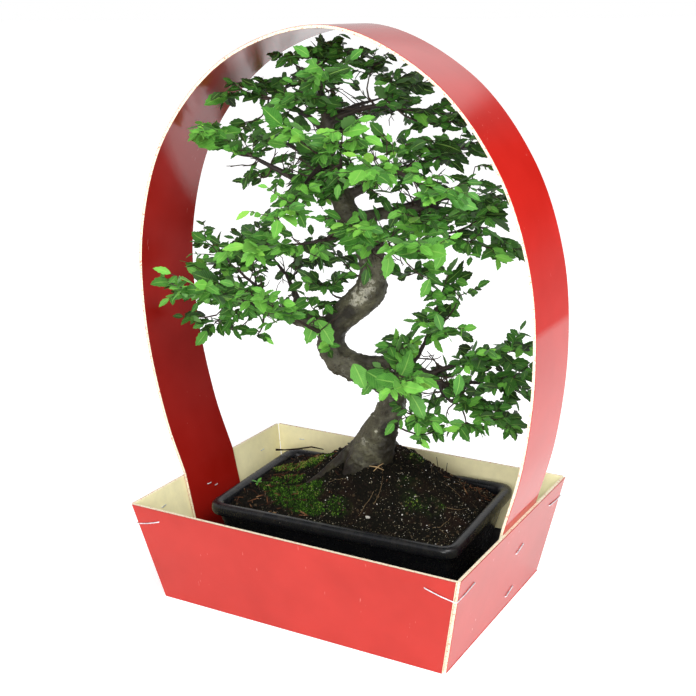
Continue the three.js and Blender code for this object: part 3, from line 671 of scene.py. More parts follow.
class BONSAI_OT_hoop(bpy.types.Operator):
    """The bent board hoop, with film on both faces and raw edges"""
    bl_idname = "bonsai.hoop"
    bl_label = "Hoop"

    def execute(self, context):
        settings = context.scene.bonsai_crate
        outer = film_material("hoop_gloss_film_outside", settings.hoop_film,
                              [(0.279, 0.66), (0.284, 0.02), (0.432, 0.03), (0.455, 1.0)], 0.35)
        # Painted shade: the inside faces carry the same red film as the outside, darkened to 0.6 to stand in for the
        # shade there
        inner = film_material("hoop_gloss_film_inside", times(settings.hoop_film, 0.6),
                              [(0.378, 0.03), (0.398, 0.9)], 0.2, lean=0.9, blur=0.22)
        finish(hoop_mesh(settings.arris), "hoop_band", [outer, inner, edge_material(settings)], "hoop_board",
               "hoop_handle")
        return {"FINISHED"}


# Wires
def board_point(side, sign, along, z, out):
    if side == "end":
        return Vector((sign * (half_length(z) + out), along, z))
    return Vector((along, sign * (half_depth(z) + out), z))


def soft_path(points, bend=1.4, steps=3):
    """The same path in millimetres with its corners rounded."""
    out = [points[0]]
    for a, b, c in zip(points, points[1:], points[2:]):
        before = (a - b).normalized() * min(bend, (a - b).length / 2.2)
        after = (c - b).normalized() * min(bend, (c - b).length / 2.2)
        for k in range(steps + 1):
            t = k / steps
            out.append((b + before).lerp(b, t).lerp(b.lerp(b + after, t), t))
    out.append(points[-1])
    return out


def corner_wire(sign_x, sign_y, draw):
    z_long, z_end, z_corner = CORNER_Z
    long_x = sign_x * (half_length(z_long) - CORNER_REACH[0])
    end_y = sign_y * (half_depth(z_end) - CORNER_REACH[1])
    inside = -BOARD - WIRE_STAND
    corner = Vector((sign_x * (half_length(z_corner) + 0.2), sign_y * (half_depth(z_corner) + 0.2), z_corner))
    on_long = board_point("long", sign_y, long_x, z_long, WIRE_STAND)
    on_end = board_point("end", sign_x, end_y, z_end, WIRE_STAND)
    return soft_path([
        board_point("long", sign_y, long_x - sign_x * CORNER_CLINCH, z_long + draw.uniform(-1, 1), inside),
        board_point("long", sign_y, long_x, z_long, inside),
        on_long,
        on_long.lerp(corner, 0.5) + CORNER_SAG * draw.uniform(0.2, 0.7),
        corner,
        corner.lerp(on_end, 0.5) + CORNER_SAG * draw.uniform(0, 0.5),
        on_end,
        board_point("end", sign_x, end_y, z_end, inside),
        board_point("end", sign_x, end_y - sign_y * CORNER_CLINCH, z_end + draw.uniform(-1, 1), inside),
    ])


def hoop_staple(sign, y, z, rise):
    depth = -2 * BOARD - GAP - WIRE_STAND - 0.3

    def at(side, out, clinch=0.0):
        return board_point("end", sign, y + side * (STAPLE_CROWN / 2 - clinch), z + side * rise / 2, out)

    return soft_path([at(-1, depth, STAPLE_CLINCH), at(-1, depth), at(-1, WIRE_STAND), at(1, WIRE_STAND),
                      at(1, depth), at(1, depth, STAPLE_CLINCH)])


def wire_material():
    # Galvanised staple wire: thin bright steel, drawn smooth
    skin = Skin("galvanised_staple_wire", 0.42, Metallic=0.7)
    skin.set(Base_Color=skin.ramp(skin.noise(3, 2), (0.35, "#C4C9CF"), (0.65, "#F6F8FB")))
    return skin.made


class BONSAI_OT_wires(bpy.types.Operator):
    """Corner wires and hoop staples, bent from round wire"""
    bl_idname = "bonsai.wires"
    bl_label = "Wires"

    def execute(self, context):
        radius = context.scene.bonsai_crate.wire
        steel = wire_material()
        draw = random.Random(5)
        paths = {f"corner_wire_{name_y}_{name_x}": corner_wire(sign_x, sign_y, draw)
                 for name_x, sign_x in (("left", -1), ("right", 1))
                 for name_y, sign_y in (("front", -1), ("back", 1))}
        paths.update((f"hoop_staple_{name}", hoop_staple(*values)) for name, values in STAPLES.items())
        for name, path in paths.items():
            bm = tubes([[(p * MM, radius) for p in path]], sides=8)
            finish(bm, f"{name}_round", [steel], "wire", name)
        return {"FINISHED"}


# Tray and pot
def plastic_material(name, settings, rough, dusty):
    # Injection-moulded polypropylene: black, satin, with dried dust and soil splashes on upper faces
    skin = Skin(name, rough, IOR=1.49, Specular_IOR_Level=0.32)
    up = skin.add("SeparateXYZ", skin.add("NewGeometry").outputs["Normal"]).outputs["Z"]
    streak = skin.ramp(skin.noise(9, 6, 0.7), (0.46, 0.0), (0.78, dusty))
    amount = skin.maths("MULTIPLY", streak, skin.ramp(up, (0.1, 0.25), (0.9, 1.0)))
    speck = skin.cells(7)
    dots = skin.ramp(speck.outputs["Distance"], (0.05, 1.0), (0.09, 0.0))
    chosen = skin.ramp(speck.outputs["Color"], (0.62, 0.0), (0.66, 0.8))
    total = skin.maths("MAXIMUM", amount, skin.maths("MULTIPLY", dots, chosen))
    skin.set(Roughness=skin.maths("MULTIPLY_ADD", total, 0.4, rough))
    return skin.bumped(skin.mix(total, settings.plastic, settings.dust), skin.noise(1.3, 3), 0.08, 0.3)


class BONSAI_OT_tray(bpy.types.Operator):
    """The thin drip tray under the pot"""
    bl_idname = "bonsai.tray"
    bl_label = "Drip tray"

    def execute(self, context):
        top = FOOT_Z + TRAY_HEIGHT
        sheet = TRAY_SHEET
        # inset, height and share of the width, from the middle outside round the lip to the middle inside
        section = [(0.02, 0, FOOT_Z), (1, 1.6, FOOT_Z), (1, 0.4, FOOT_Z + 0.5), (1, 0, FOOT_Z + 2),
                   (1, 0, top - 0.4), (1, 0.3, top), (1, sheet - 0.3, top), (1, sheet, top - 0.4),
                   (1, sheet, FOOT_Z + sheet + 1.5), (1, sheet + 1.6, FOOT_Z + sheet),
                   (0.02, 0, FOOT_Z + sheet)]

        def place(u, v):
            part, inset, z = section[round(v * (len(section) - 1))]
            half_x = (inner_x(z) - BOARD - 2.4) * part - inset
            half_y = (half_depth(z) - BOARD - GAP) * part - inset
            return *rounded_outline(half_x, half_y, min(16, half_x, half_y), u), z

        bm = placed_grid(120, len(section) - 1, place)
        closed(bm)
        black = plastic_material("tray_moulded_polypropylene", context.scene.bonsai_pot, 0.42, 0.35)
        finish(bm, "drip_tray_shell", [black], "tray_plastic", "drip_tray")
        return {"FINISHED"}


def pot_frame(x, y, z):
    """From the pot's own frame to the crate's, in millimetres."""
    c, s = math.cos(math.radians(POT_YAW)), math.sin(math.radians(POT_YAW))
    return POT_CENTRE[0] + c * x - s * y, POT_CENTRE[1] + s * x + c * y, z


class BONSAI_OT_pot(bpy.types.Operator):
    """The moulded pot with its rolled rim and four feet"""
    bl_idname = "bonsai.pot"
    bl_label = "Pot"

    def execute(self, context):
        rows = len(POT_SECTION) - 1
        draw = Vector((3.1, 7.7, 1.9))

        def place(u, v):
            inset, z = POT_SECTION[round(v * rows)]
            radius = max(15 - inset * 0.6, 5)
            x, y = rounded_outline(POT_HALF[0] - inset, POT_HALF[1] - inset, radius, u)
            # a moulded pot isn't quite straight
            wave = noise.noise(Vector((x, y, z)) * 0.016 + draw)
            bow = 0.8 * wave * min(1, z / 60)
            return pot_frame(x * (1 + bow / 130), y * (1 + bow / 86), POT_BASE + z + 0.25 * wave)

        bm = placed_grid(176, rows, place)
        closed(bm)
        for sx in (-1, 1):
            for sy in (-1, 1):
                foot = bmesh.ops.create_cube(bm, size=1)["verts"]
                edges = list({e for v in foot for e in v.link_edges})
                for v in foot:
                    grown = 2 * (v.co.z + 0.5)
                    x = sx * 81 + v.co.x * 2 * (17 + grown)
                    y = sy * 46 + v.co.y * 2 * (9 + grown)
                    v.co = Vector(pot_frame(x, y, POT_BASE + 7 * (v.co.z + 0.5))) * MM
                rounded_edges(bm, edges, 1.2 * MM, 3)
        black = plastic_material("pot_moulded_polypropylene", context.scene.bonsai_pot, 0.27, 0.2)
        finish(bm, "pot_shell", [black], "pot_plastic", "pot")
        return {"FINISHED"}


# Soil and what lies on it
MOST_TRIES = 30  # for each thing that is laid on the soil
NEAR_WOOD = 1.5 * MM  # bits lie no closer to the roots and the trunk
# Patches of moss on the mound: middle x and y, half widths, density, and how yellow the moss is
MOSS = [
    ((-58, -12), (32, 19), 1.0, 0.12),
    ((-91, -2), (15, 11), 0.7, 0.2),
    ((-36, -30), (26, 9), 0.9, 0.2),
    ((-6, -24), (16, 9), 0.5, 0.4),
    ((-84, 17), (22, 8), 0.75, 0.35),
    ((-88, 42), (40, 9), 0.85, 0.8),
    ((42, 46), (13, 9), 0.3, 0.6),
    ((66, 12), (22, 18), 0.22, 0.7),
]

# A twig on the pot's rim at the back: place and radius
BACK_TWIG = [(-137, 74, 90, 1.2), (-130, 80, 89, 0.7), (-118, 90, 89, 0.9), (-106, 97, 91, 0.8), (-92, 99, 90, 0.5)]


def moss_at(x, y):
    """How mossy a place on the mound is, and how yellow its moss is."""
    best, yellow = 0.0, 0.0
    for (mx, my), (wide, deep), density, hue in MOSS:
        reach = math.hypot((x - mx) / wide, (y - my) / deep)
        here = density * limited(2.4 * (1.15 - reach))
        if here > best:
            best, yellow = here, hue
    fray = noise.fractal(Vector((x, y, 3)) * 0.09, 1.0, 2.0, 3)
    return limited(best + 0.45 * fray * (1 if best else 0)), yellow


def earth_material(settings):
    # Peat and loam: dark, damp, granular, with a green bloom of algae under the moss
    skin = Skin("damp_peat_soil", 0.85, IOR=1.4, Specular_IOR_Level=0.15)
    fine = skin.noise(2.2, 6, 0.75)
    soil = skin.ramp(fine, (0.32, times(settings.earth, 0.35)), (0.5, settings.earth), (0.68, "#1E1810"),
                     (0.8, "#3A2F20"))
    warm = skin.mix(skin.ramp(skin.noise(28, 3), (0.52, 0.0), (0.7, 0.55)), soil, "#2A1811")
    bloom = skin.ramp(fine, (0.35, "#0D1407"), (0.65, "#243C10"))
    return skin.bumped(skin.mix(skin.attribute("moss"), warm, bloom), skin.noise(1.0, 4, 0.7), 0.8, 1.0)


def stirred_tone(skin, cloud):
    """Each bit's own tone, varied a little over the bit."""
    return skin.maths("ADD", skin.attribute("tone"), skin.maths("MULTIPLY_ADD", cloud, 0.3, -0.15))


def toned_material(name, roughness, *stops, size=1.5):
    """A matt natural material whose colour follows each bit's own tone."""
    skin = Skin(name, roughness, IOR=1.4, Specular_IOR_Level=0.2)
    fine = skin.noise(size, 3)
    return skin.bumped(skin.ramp(stirred_tone(skin, fine), *stops), fine, 0.5, 0.6)


class BONSAI_OT_soil(bpy.types.Operator):
    """The mounded soil, lumpy on top"""
    bl_idname = "bonsai.soil"
    bl_label = "Soil"

    def execute(self, context):
        settings = context.scene.bonsai_ground
        bm = remeshed(merged_copy("soil"), settings.voxel)
        smoothed(bm, bm.verts)
        moss = bm.verts.layers.float.new("moss")
        low = (POT_RIM - 14) * MM
        for v in bm.verts:
            x, y = v.co.x / MM, v.co.y / MM
            amount = v[moss] = moss_at(x, y)[0]
            if v.co.z < low or v.normal.z < 0.2:
                continue
            lump = fractal(v.co, 9, 3) + 0.5 * fractal(v.co, 3.4, 2)
            # the earth and its litter are heaped up against the rim on the left
            heap = limited((-x - 62) / 40) * limited((y + 50) / 20)
            # and against the trunk's foot in front
            near = math.hypot(x - 15, y - 5) / 17
            bank = max(0, 1 - near * near)
            v.co.z += settings.lumps * (lump + 0.35 + 1.1 * amount) + settings.heap * heap + settings.bank * bank
        finish(bm, "soil_mound", [earth_material(settings)], "soil", "soil", smooth=False)
        return {"FINISHED"}


def jittered(shape, draw):
    for v in shape.verts:
        v.co *= draw.uniform(0.75, 1.2)
    return shape


def ball(radius, draw):
    bm = bmesh.new()
    bmesh.ops.create_icosphere(bm, subdivisions=1, radius=radius)
    return jittered(bm, draw)


def chip(size, draw):
    bm = bmesh.new()
    bmesh.ops.create_cube(bm, size=size)
    return jittered(bm, draw)


def tuft(draw):
    """Three pointed moss shoots that lean apart."""
    bm = bmesh.new()
    for _ in range(3):
        lean = any_heading(draw) @ Matrix.Rotation(draw.uniform(0.1, 0.6), 4, "X")
        bmesh.ops.create_cone(bm, cap_ends=False, segments=3, radius1=0.28, radius2=0, depth=1,
                              matrix=lean @ Matrix.Translation((0, 0, 0.35)))
    return bm


def any_heading(draw):
    return Matrix.Rotation(draw.uniform(0, 6.3), 4, "Z")


def any_turn(draw):
    axis = Vector((draw.gauss(0, 1), draw.gauss(0, 1), draw.gauss(0, 1))).normalized()
    return Matrix.Rotation(draw.uniform(0, 2 * math.pi), 4, axis)


def flat_way(angle):
    return Vector((math.cos(angle), math.sin(angle), 0))


class Mound:
    """The finished soil, as the ground on which things lie. An x and y are in millimetres, and a place in metres."""

    def __init__(self, draw):
        self.draw = draw
        self.surface = BVHTree.FromBMesh(shape_of(bpy.data.objects["soil_mound"]))
        self.wood = BVHTree.FromBMesh(merged_copy("tree_wood"))

    def below(self, place):
        return self.surface.ray_cast(place, Vector((0, 0, -1)))[:2]

    def top(self, x, y, z=0.0):
        """The point z above the soil, in millimetres."""
        return self.below(Vector((x, y, OVERHEAD)) * MM)[0] + Vector((0, 0, z)) * MM

    def places(self, number, accept):
        """Places and normals on the mound's upper side that accept(x, y) takes."""
        found = []
        tries = 0
        while len(found) < number and tries < number * MOST_TRIES:
            tries += 1
            x, y, _ = pot_frame(*(self.draw.uniform(-1, 1) * (half - RIM_INSET) for half in POT_HALF), 0)
            if not accept(x, y):
                continue
            place, normal = self.below(Vector((x, y, OVERHEAD)) * MM)
            if place is not None and normal.z > 0.25:
                found.append((place, normal))
        return found

    def scatter(self, name, kinds, number, smallest, largest, accept, made, sink=0.0):
        """One piece of loose bits, each of them a turned and squashed copy. Their sizes are in millimetres."""
        draw = self.draw
        found = []
        for place, normal in self.places(number, accept):
            if self.wood.find_nearest(place)[3] < NEAR_WOOD:
                continue
            size = smallest + (largest - smallest) * draw.random() ** 2.2
            squash = Matrix.Diagonal((draw.uniform(0.7, 1.3), draw.uniform(0.7, 1.3), draw.uniform(0.5, 1), 1))
            at = place + normal * size * MM * (0.5 - sink)
            found.append((kinds[draw.randrange(len(kinds))], Matrix.Translation(at) @ any_turn(draw) @ squash
                          @ Matrix.Scale(size * MM, 4), draw.random()))
        finish(copies(found), name, [made], "soil", smooth=False)

    def moss(self, number, template):
        """Tufts that stand where there is moss, each with its tone."""
        draw = self.draw
        found = []
        for place, normal in self.places(number, lambda x, y: moss_at(x, y)[0] > draw.uniform(0.25, 0.8)):
            yellow = moss_at(place.x / MM, place.y / MM)[1]
            tone = 0.27 + 0.5 * yellow + draw.uniform(-0.3, 0.38) + 0.3 * fractal(place, 9)
            up = (normal + Vector((draw.uniform(-0.4, 0.4), draw.uniform(-0.4, 0.4), 0.7))).normalized()
            found.append((template, Matrix.Translation(place) @ up.to_track_quat("Z", "Y").to_matrix().to_4x4()
                          @ any_heading(draw) @ Matrix.Scale(draw.uniform(1.0, 2.3) * MM, 4), limited(tone)))
        return copies(found)

    def sticks(self, number):
        """Bits of bark, needles and dry twig, most of them on the left and at the back."""
        draw = self.draw
        lines = []
        for place, normal in self.places(number, lambda x, y: x < -80 + draw.expovariate(1 / 30) or y > 62):
            flat = flat_way(draw.uniform(0, 6.3))
            flat = (flat - normal * flat.dot(normal)).normalized()
            long = draw.uniform(2.5, 12) * MM
            thick = draw.uniform(0.25, 0.85) * MM
            bow = normal * draw.uniform(0.3, 1.6) * MM
            lines.append([(place - flat * long / 2 + normal * thick, thick), (place + bow, thick),
                          (place + flat * long / 2 + normal * thick * 1.5, thick * 0.7)])
        return tubes(lines, sides=5)

    def threads(self, number):
        """Fine feeder roots that lie in loops."""
        draw = self.draw
        lines = []
        for at, _ in self.places(number, lambda x, y: x > -10):
            heading = draw.uniform(0, 6.3)
            curl = draw.uniform(-0.13, 0.13)
            line = []
            for _ in range(draw.randrange(6, 16)):
                hit = self.below(at + Vector((0, 0, 0.02)))[0]
                if hit is None:
                    break
                line.append((hit + Vector((0, 0, draw.uniform(0.1, 0.9) * MM)), 0.13 * MM))
                heading += curl + draw.uniform(-0.2, 0.2)
                at = hit + flat_way(heading) * 2.6 * MM
            if len(line) > 3:
                lines.append(line)
        return tubes(lines, sides=4)


class BONSAI_OT_litter(bpy.types.Operator):
    """Crumbs, perlite, moss, sticks, fine roots and a pebble on the soil"""
    bl_idname = "bonsai.litter"
    bl_label = "Soil litter"

    def execute(self, context):
        settings = context.scene.bonsai_ground
        draw = random.Random(11)
        mound = Mound(draw)
        balls = [small_mesh(ball(1, draw)) for _ in range(5)]
        # Crumbs of peat and bark: matt, brown to black
        crumb = toned_material("peat_crumbs", 0.9, (0.0, "#080605"), (0.45, "#16100C"), (0.8, "#231B14"),
                               (1.0, "#453929"))
        mound.scatter("soil_crumbs", balls, settings.crumbs, 0.35, 1.9,
                      lambda x, y: moss_at(x, y)[0] < draw.uniform(0.15, 0.9), crumb, sink=0.3)
        # Perlite: puffed white volcanic glass, matt and crisp
        white = toned_material("perlite_grit", 0.8, (0.0, "#8F8A80"), (0.5, "#D9D6CE"), (1.0, "#F4F2EC"))
        mound.scatter("perlite_specks", balls, settings.grit, 0.28, 0.8,
                      lambda x, y: x > -20 + draw.uniform(-50, 25), white)
        # Grains: sand, dry bark and seed husks, tan to olive
        pale = toned_material("sand_and_husks", 0.8, (0.0, "#343020"), (0.55, "#6B6249"), (1.0, "#BDB6A0"))
        chips = [small_mesh(chip(1.5, draw)) for _ in range(4)]
        mound.scatter("pale_grains", chips, settings.grains, 0.2, 0.5,
                      lambda x, y: x > -60 + draw.uniform(-70, 40), pale)
        # Moss: soft pointed tufts, bright where fresh and olive where dry
        moss = toned_material("fresh_moss", 0.75, (0.0, "#0C1505"), (0.38, settings.moss), (0.75, "#527F24"),
                              (1.0, "#8A8A44"), size=0.9)
        finish(mound.moss(settings.tufts, small_mesh(tuft(draw))), "moss_tufts", [moss], "soil", smooth=False)
        # Dry twigs and bark: brown to pale straw
        dry = toned_material("dry_twig_bits", 0.8, (0.0, "#1A100B"), (0.4, "#3F2618"), (0.75, "#6F4A31"),
                             (1.0, "#B0946C"))
        sticks = toned(mound.sticks(settings.sticks), lambda place: 0.42 + 0.8 * fractal(place, 10))
        finish(sticks, "dry_bits", [dry], "soil")
        # Fine feeder roots: pale tan skin
        tan = toned_material("feeder_roots", 0.7, (0.0, "#5C4530"), (1.0, "#A98F6B"))
        threads = toned(mound.threads(settings.fibres), lambda place: 0.5 + 0.5 * fractal(place, 20))
        finish(threads, "feeder_root_threads", [tan], "soil")

        # A pale pebble near the front, and a splinter at the trunk's foot
        pebble = ball(2.9 * MM, random.Random(4))
        bmesh.ops.transform(pebble, matrix=Matrix.Translation(mound.top(30, -26, 1.2))
                            @ Matrix.Diagonal((1, 0.75, 0.6, 1)), verts=pebble.verts)
        finish(toned(pebble, lambda place: 0.3), "pebble", [white], "soil", smooth=False)
        splinter = tubes([[(a, 0.35 * MM), (a.lerp(b, 0.5) + Vector((0, 0, MM)), 0.6 * MM), (b, 0.3 * MM)]
                          for a, b in ((mound.top(15, 5, 3), mound.top(27, 12, 1)),
                                       (mound.top(20, 4, 1), mound.top(25, 15, 2)))], sides=5)
        finish(toned(splinter, lambda place: 1.0), "splinter", [dry], "soil", smooth=False)
        # Two dark root ends that stand up behind the mound, and a twiglet across the back of the pot
        strands = [[(mound.top(x, y, 4.2 * k - 2) + Vector((lean * k * 2, 0, 0)) * MM, (0.55 - 0.08 * k) * MM)
                    for k in range(5)] for x, y, lean in ((60, 66, -0.3), (69, 62, 0.25))]
        strands.append([(Vector((x, y, z)) * MM, radius * MM) for x, y, z, radius in BACK_TWIG])
        finish(toned(tubes(strands, sides=6), lambda place: 0.05), "dark_root_ends", [dry], "soil")
        return {"FINISHED"}


# Trunk, branches and twigs
FULL_GIRTH = 0.03  # how thick the wood is, in metres, where its girth counts as 1
TRUNK_GIRTH = 0.28  # the least girth of the trunk and its main branches
SPUR_GIRTH = (0.03, 0.3)  # the girths of wood that bears spurs and bare twigs


def bark_material(settings):
    # Living elm bark: smooth grey-brown, finely pitted, with pale worn patches and darker young wood. The marks held
    # in wear add real worn and damp bark, and also painted highlights on the trunk's lit side and painted shade
    # under its bend
    skin = Skin("living_elm_bark", 0.62, IOR=1.45)
    broad, patch = skin.noise(13, 5, 0.6), skin.noise(6, 4, 0.6)
    # wear holds the bark marks: real wear and damp, and painted highlights and painted shade
    wear = skin.attribute("wear")
    wood = skin.ramp(skin.maths("MULTIPLY_ADD", wear, 0.22, broad), (0.3, settings.bark_dark),
                     (0.5, settings.bark), (0.75, times(settings.bark, 1.8)))
    band = skin.add("Mapping", skin.at(), Scale=(1, 1, 4.5))
    lines = skin.ramp(skin.noise(7, 4, 0.65, band), (0.40, 0.0), (0.46, 0.5), (0.52, 0.0))
    # pale patches: random worn bark, and painted highlights where the marks are above 0
    bare = skin.ramp(skin.maths("MULTIPLY_ADD", wear, 0.16, patch), (0.60, 0.0), (0.70, 0.75))
    pale_and_painted_highlights = skin.mix(bare, skin.mix(lines, wood, "#2C241D"), "#AFAD9C")
    cells = skin.cells(3.6)
    pit = skin.ramp(cells.outputs["Distance"], (0.12, 1.0), (0.22, 0.0))
    pitted = skin.maths("MULTIPLY", pit, skin.ramp(cells.outputs["Color"], (0.45, 0.0), (0.5, 0.85)))
    # dark patches: random dark bark, and painted shade where the marks are below 0
    dark_and_painted_shade = skin.ramp(skin.maths("MULTIPLY_ADD", patch, 1.8, wear), (0.2, 0.75), (0.72, 0.0))
    old = skin.mix(dark_and_painted_shade, skin.mix(pitted, pale_and_painted_highlights, "#1D1713"), "#1C180F")
    young = skin.ramp(skin.attribute("girth"), (0.14, 1.0), (0.5, 0.0))
    both = skin.mix(young, old, skin.ramp(broad, (0.35, "#1F1713"), (0.65, settings.twig)))
    # earth and green algae on the foot, splashed up from the soil
    ragged = skin.maths("MULTIPLY_ADD", patch, 3.0, -1.5)
    amount = skin.ramp(skin.maths("ADD", skin.attribute("splash"), ragged), (0.25, 0.0), (0.6, 0.93))
    muddy = skin.mix(amount, both, skin.ramp(broad, (0.4, "#17110C"), (0.62, "#262310")))
    return skin.bumped(muddy, skin.maths("SUBTRACT", skin.noise(1.5, 5, 0.7), pitted), 0.7, 0.7)


# Marks that make the bark pale where strength is above 0 and dark where it is below 0: place in mm, reach in mm,
# strength. Some are real worn, damp and old bark; others are painted highlights on the trunk's lit side and painted
# shade under its bend
BARK_WEAR_AND_PAINTED_LIGHT = [
    ((1, 9, 288), 12, 1.3), ((12, 8, 301), 10, 1.0), ((-12, 12, 283), 6, 0.5), ((12, 6, 322), 8, 0.35),
    ((16, 12, 178), 8, 0.5), ((8, 6, 148), 9, 0.35), ((22, 6, 160), 2.4, 1.8),
    ((-8, 9, 272), 8, -0.9), ((-24, 8, 262), 13, -0.75), ((-20, 8, 244), 14, -0.6), ((6, 12, 236), 14, -0.8),
    ((36, 10, 162), 13, -1.1), ((34, 20, 140), 19, -1.3), ((30.5, 7.8, 166), 3, -1.2), ((-12, 12, 122), 14, -0.6),
    ((8, 6, 352), 16, -0.5),
]


class BONSAI_OT_wood(bpy.types.Operator):
    """Roots, trunk and branches, with bark relief"""
    bl_idname = "bonsai.wood"
    bl_label = "Trunk and branches"

    def execute(self, context):
        settings = context.scene.bonsai_tree
        bm = remeshed(merged_copy("tree_wood"), settings.voxel)
        bm.normal_update()
        inside = BVHTree.FromBMesh(bm)
        girth = bm.verts.layers.float.new("girth")
        for v in bm.verts:
            hit = inside.ray_cast(v.co - v.normal * 0.4 * MM, -v.normal, 0.08)
            v[girth] = min(1, hit[3] / FULL_GIRTH) if hit[0] is not None else 0.02
        # the trunk's facets go, and twigs keep their thickness
        smoothed(bm, [v for v in bm.verts if v[girth] > TRUNK_GIRTH], 9)
        smoothed(bm, [v for v in bm.verts if v[girth] <= TRUNK_GIRTH])
        ground = BVHTree.FromBMesh(merged_copy("soil"))
        splash = bm.verts.layers.float.new("splash")
        wear = bm.verts.layers.float.new("wear")
        for v in bm.verts:
            size = v[girth]
            away = ground.find_nearest(v.co)[3] / MM
            # the foot is stained higher up on its left, where moss and roots cover it
            reach = 20 if v.co.x < 0.008 else 9
            v[splash] = max(0, 1 - away / reach)
            # the marks' sum is real worn and damp bark, and also painted highlights and painted shade
            v[wear] = sum(mark * max(0, 1 - ((v.co / MM - Vector(spot)).length / radius) ** 2)
                          for spot, radius, mark in BARK_WEAR_AND_PAINTED_LIGHT)
            place = v.co
            knob = 1.0 if place.x < -0.045 and 0.235 < place.z < 0.30 else 0.0
            swell = fractal(place, 15, 3) + 0.5 * fractal(place, 5, 2) - 0.25 * abs(fractal(place, 2.6, 1))
            # scabs of old bark stand up here and there
            scab = max(0, fractal(place + Vector((0, 0, 1)), 5.5, 2) - 0.22) * 3.2 * min(1, size * 1.4)
            height = settings.relief * (min(1, size * 1.6) * swell + scab) + knob * 1.1 * MM * fractal(place, 9, 2)
            v.co += v.normal * (height + (1 - min(1, size * 3)) * 0.18 * MM)
        finish(bm, "tree_bark", [bark_material(settings)], "bark", "tree_wood")
        return {"FINISHED"}


# Leaves
LIGHT = Vector((0.25, -0.5, 0.75))  # where upper sides look on average
UP = Vector((0, 0, 1))
STALK = 0.9 * MM  # from a leaf's foot to the middle of its twig
SEAT_DEPTH = 0.8 * MM  # how deep a twig starts in the bark
# Leaves and twigs keep this far inside the arch, off the hoop and off the soil, in millimetres
ARCH_MARGIN = 5.0
HOOP_ROOM = 2.5
SOIL_ROOM = 3.0
# and this far inside the CAD box and above the table, in metres
BOX_ROOM = 0.002
LOWEST_LEAF = 0.1
# What tells a CAD leaf's midrib, by its length and its bend in degrees, and a shoot's cut end, by its sides in mm
MIDRIB = 9 * MM
MIDRIB_BEND = (-30, -22)
CUT_SIDE = (2.05, 2.3)
# The inside of the hoop's outline, as it is seen along the hoop's own depth, in millimetres
ARCH = [p + (Vector((0, 0, 250)) - p).normalized() * (BOARD + ARCH_MARGIN) for p in hoop_outline()]
LEAF_KINDS = [
    # width as a share of the length, bend down, sideways sickle, twist, depth of the fold
    (0.56, 0.12, 0.03, 0.05, 0.16),
    (0.48, 0.20, -0.04, -0.10, 0.12),
    (0.60, 0.06, 0.02, 0.10, 0.10),
    (0.50, 0.28, 0.05, -0.04, 0.20),
    (0.42, 0.04, -0.03, 0.16, 0.14),
]
LEAF_STEPS = 12
LEAF_THICKNESS = 0.022  # of its length


def leaf_template(wide, droop, sickle, twist, fold):
    """One toothed blade of length 1 along x, folded at its midrib, with its underside as second material."""
    bm = bmesh.new()
    bmesh.ops.create_grid(bm, x_segments=LEAF_STEPS, y_segments=2, size=0.5, calc_uvs=True)
    flow = bm.loops.layers.uv.verify()
    for v in bm.verts:
        # rows lie closer together at the rounded foot and tip
        v.co.x = -math.cos(math.pi * (v.co.x + 0.5)) / 2
    for face in bm.faces:
        for loop in face.loops:
            loop[flow].uv = (loop.vert.co.x + 0.5, loop.vert.co.y + 0.5)
    for v in bm.verts:
        u, side = v.co.x + 0.5, round(v.co.y * 2)
        step = round(math.acos(limited(1 - 2 * u, -1)) / math.pi * LEAF_STEPS)
        tooth = step % 2 and 1 < step < LEAF_STEPS
        # rounded at the foot and drawn out to a point
        half = 0.54 * wide * math.sin(math.pi * u ** 0.86) ** 0.82 * (1 - 0.12 * u) * (1.07 if tooth else 0.90)
        if step in (0, LEAF_STEPS):
            half = 0.008
        across = side * half
        bend = Vector((u + (0.035 if tooth and side else 0), across + sickle * math.sin(math.pi * u),
                       abs(across) * fold - droop * u * u * 0.5))
        v.co = Matrix.Rotation(twist * (u - 0.3), 3, "X") @ bend
    bmesh.ops.recalc_face_normals(bm, faces=bm.faces)
    if sum(f.normal.z for f in bm.faces) < 0:
        bmesh.ops.reverse_faces(bm, faces=bm.faces)
    made = bmesh.ops.extrude_face_region(bm, geom=bm.faces[:])
    lower = [g for g in made["geom"] if isinstance(g, bmesh.types.BMVert)]
    bmesh.ops.translate(bm, verts=lower, vec=(0, 0, LEAF_THICKNESS))
    bm.normal_update()
    for face in bm.faces:
        face.material_index = 1 if face.normal.z < 0 else 0
    for edge in bm.edges:
        if any(abs(f.normal.z) < 0.5 for f in edge.link_faces):
            edge.smooth = False
    return small_mesh(bm)


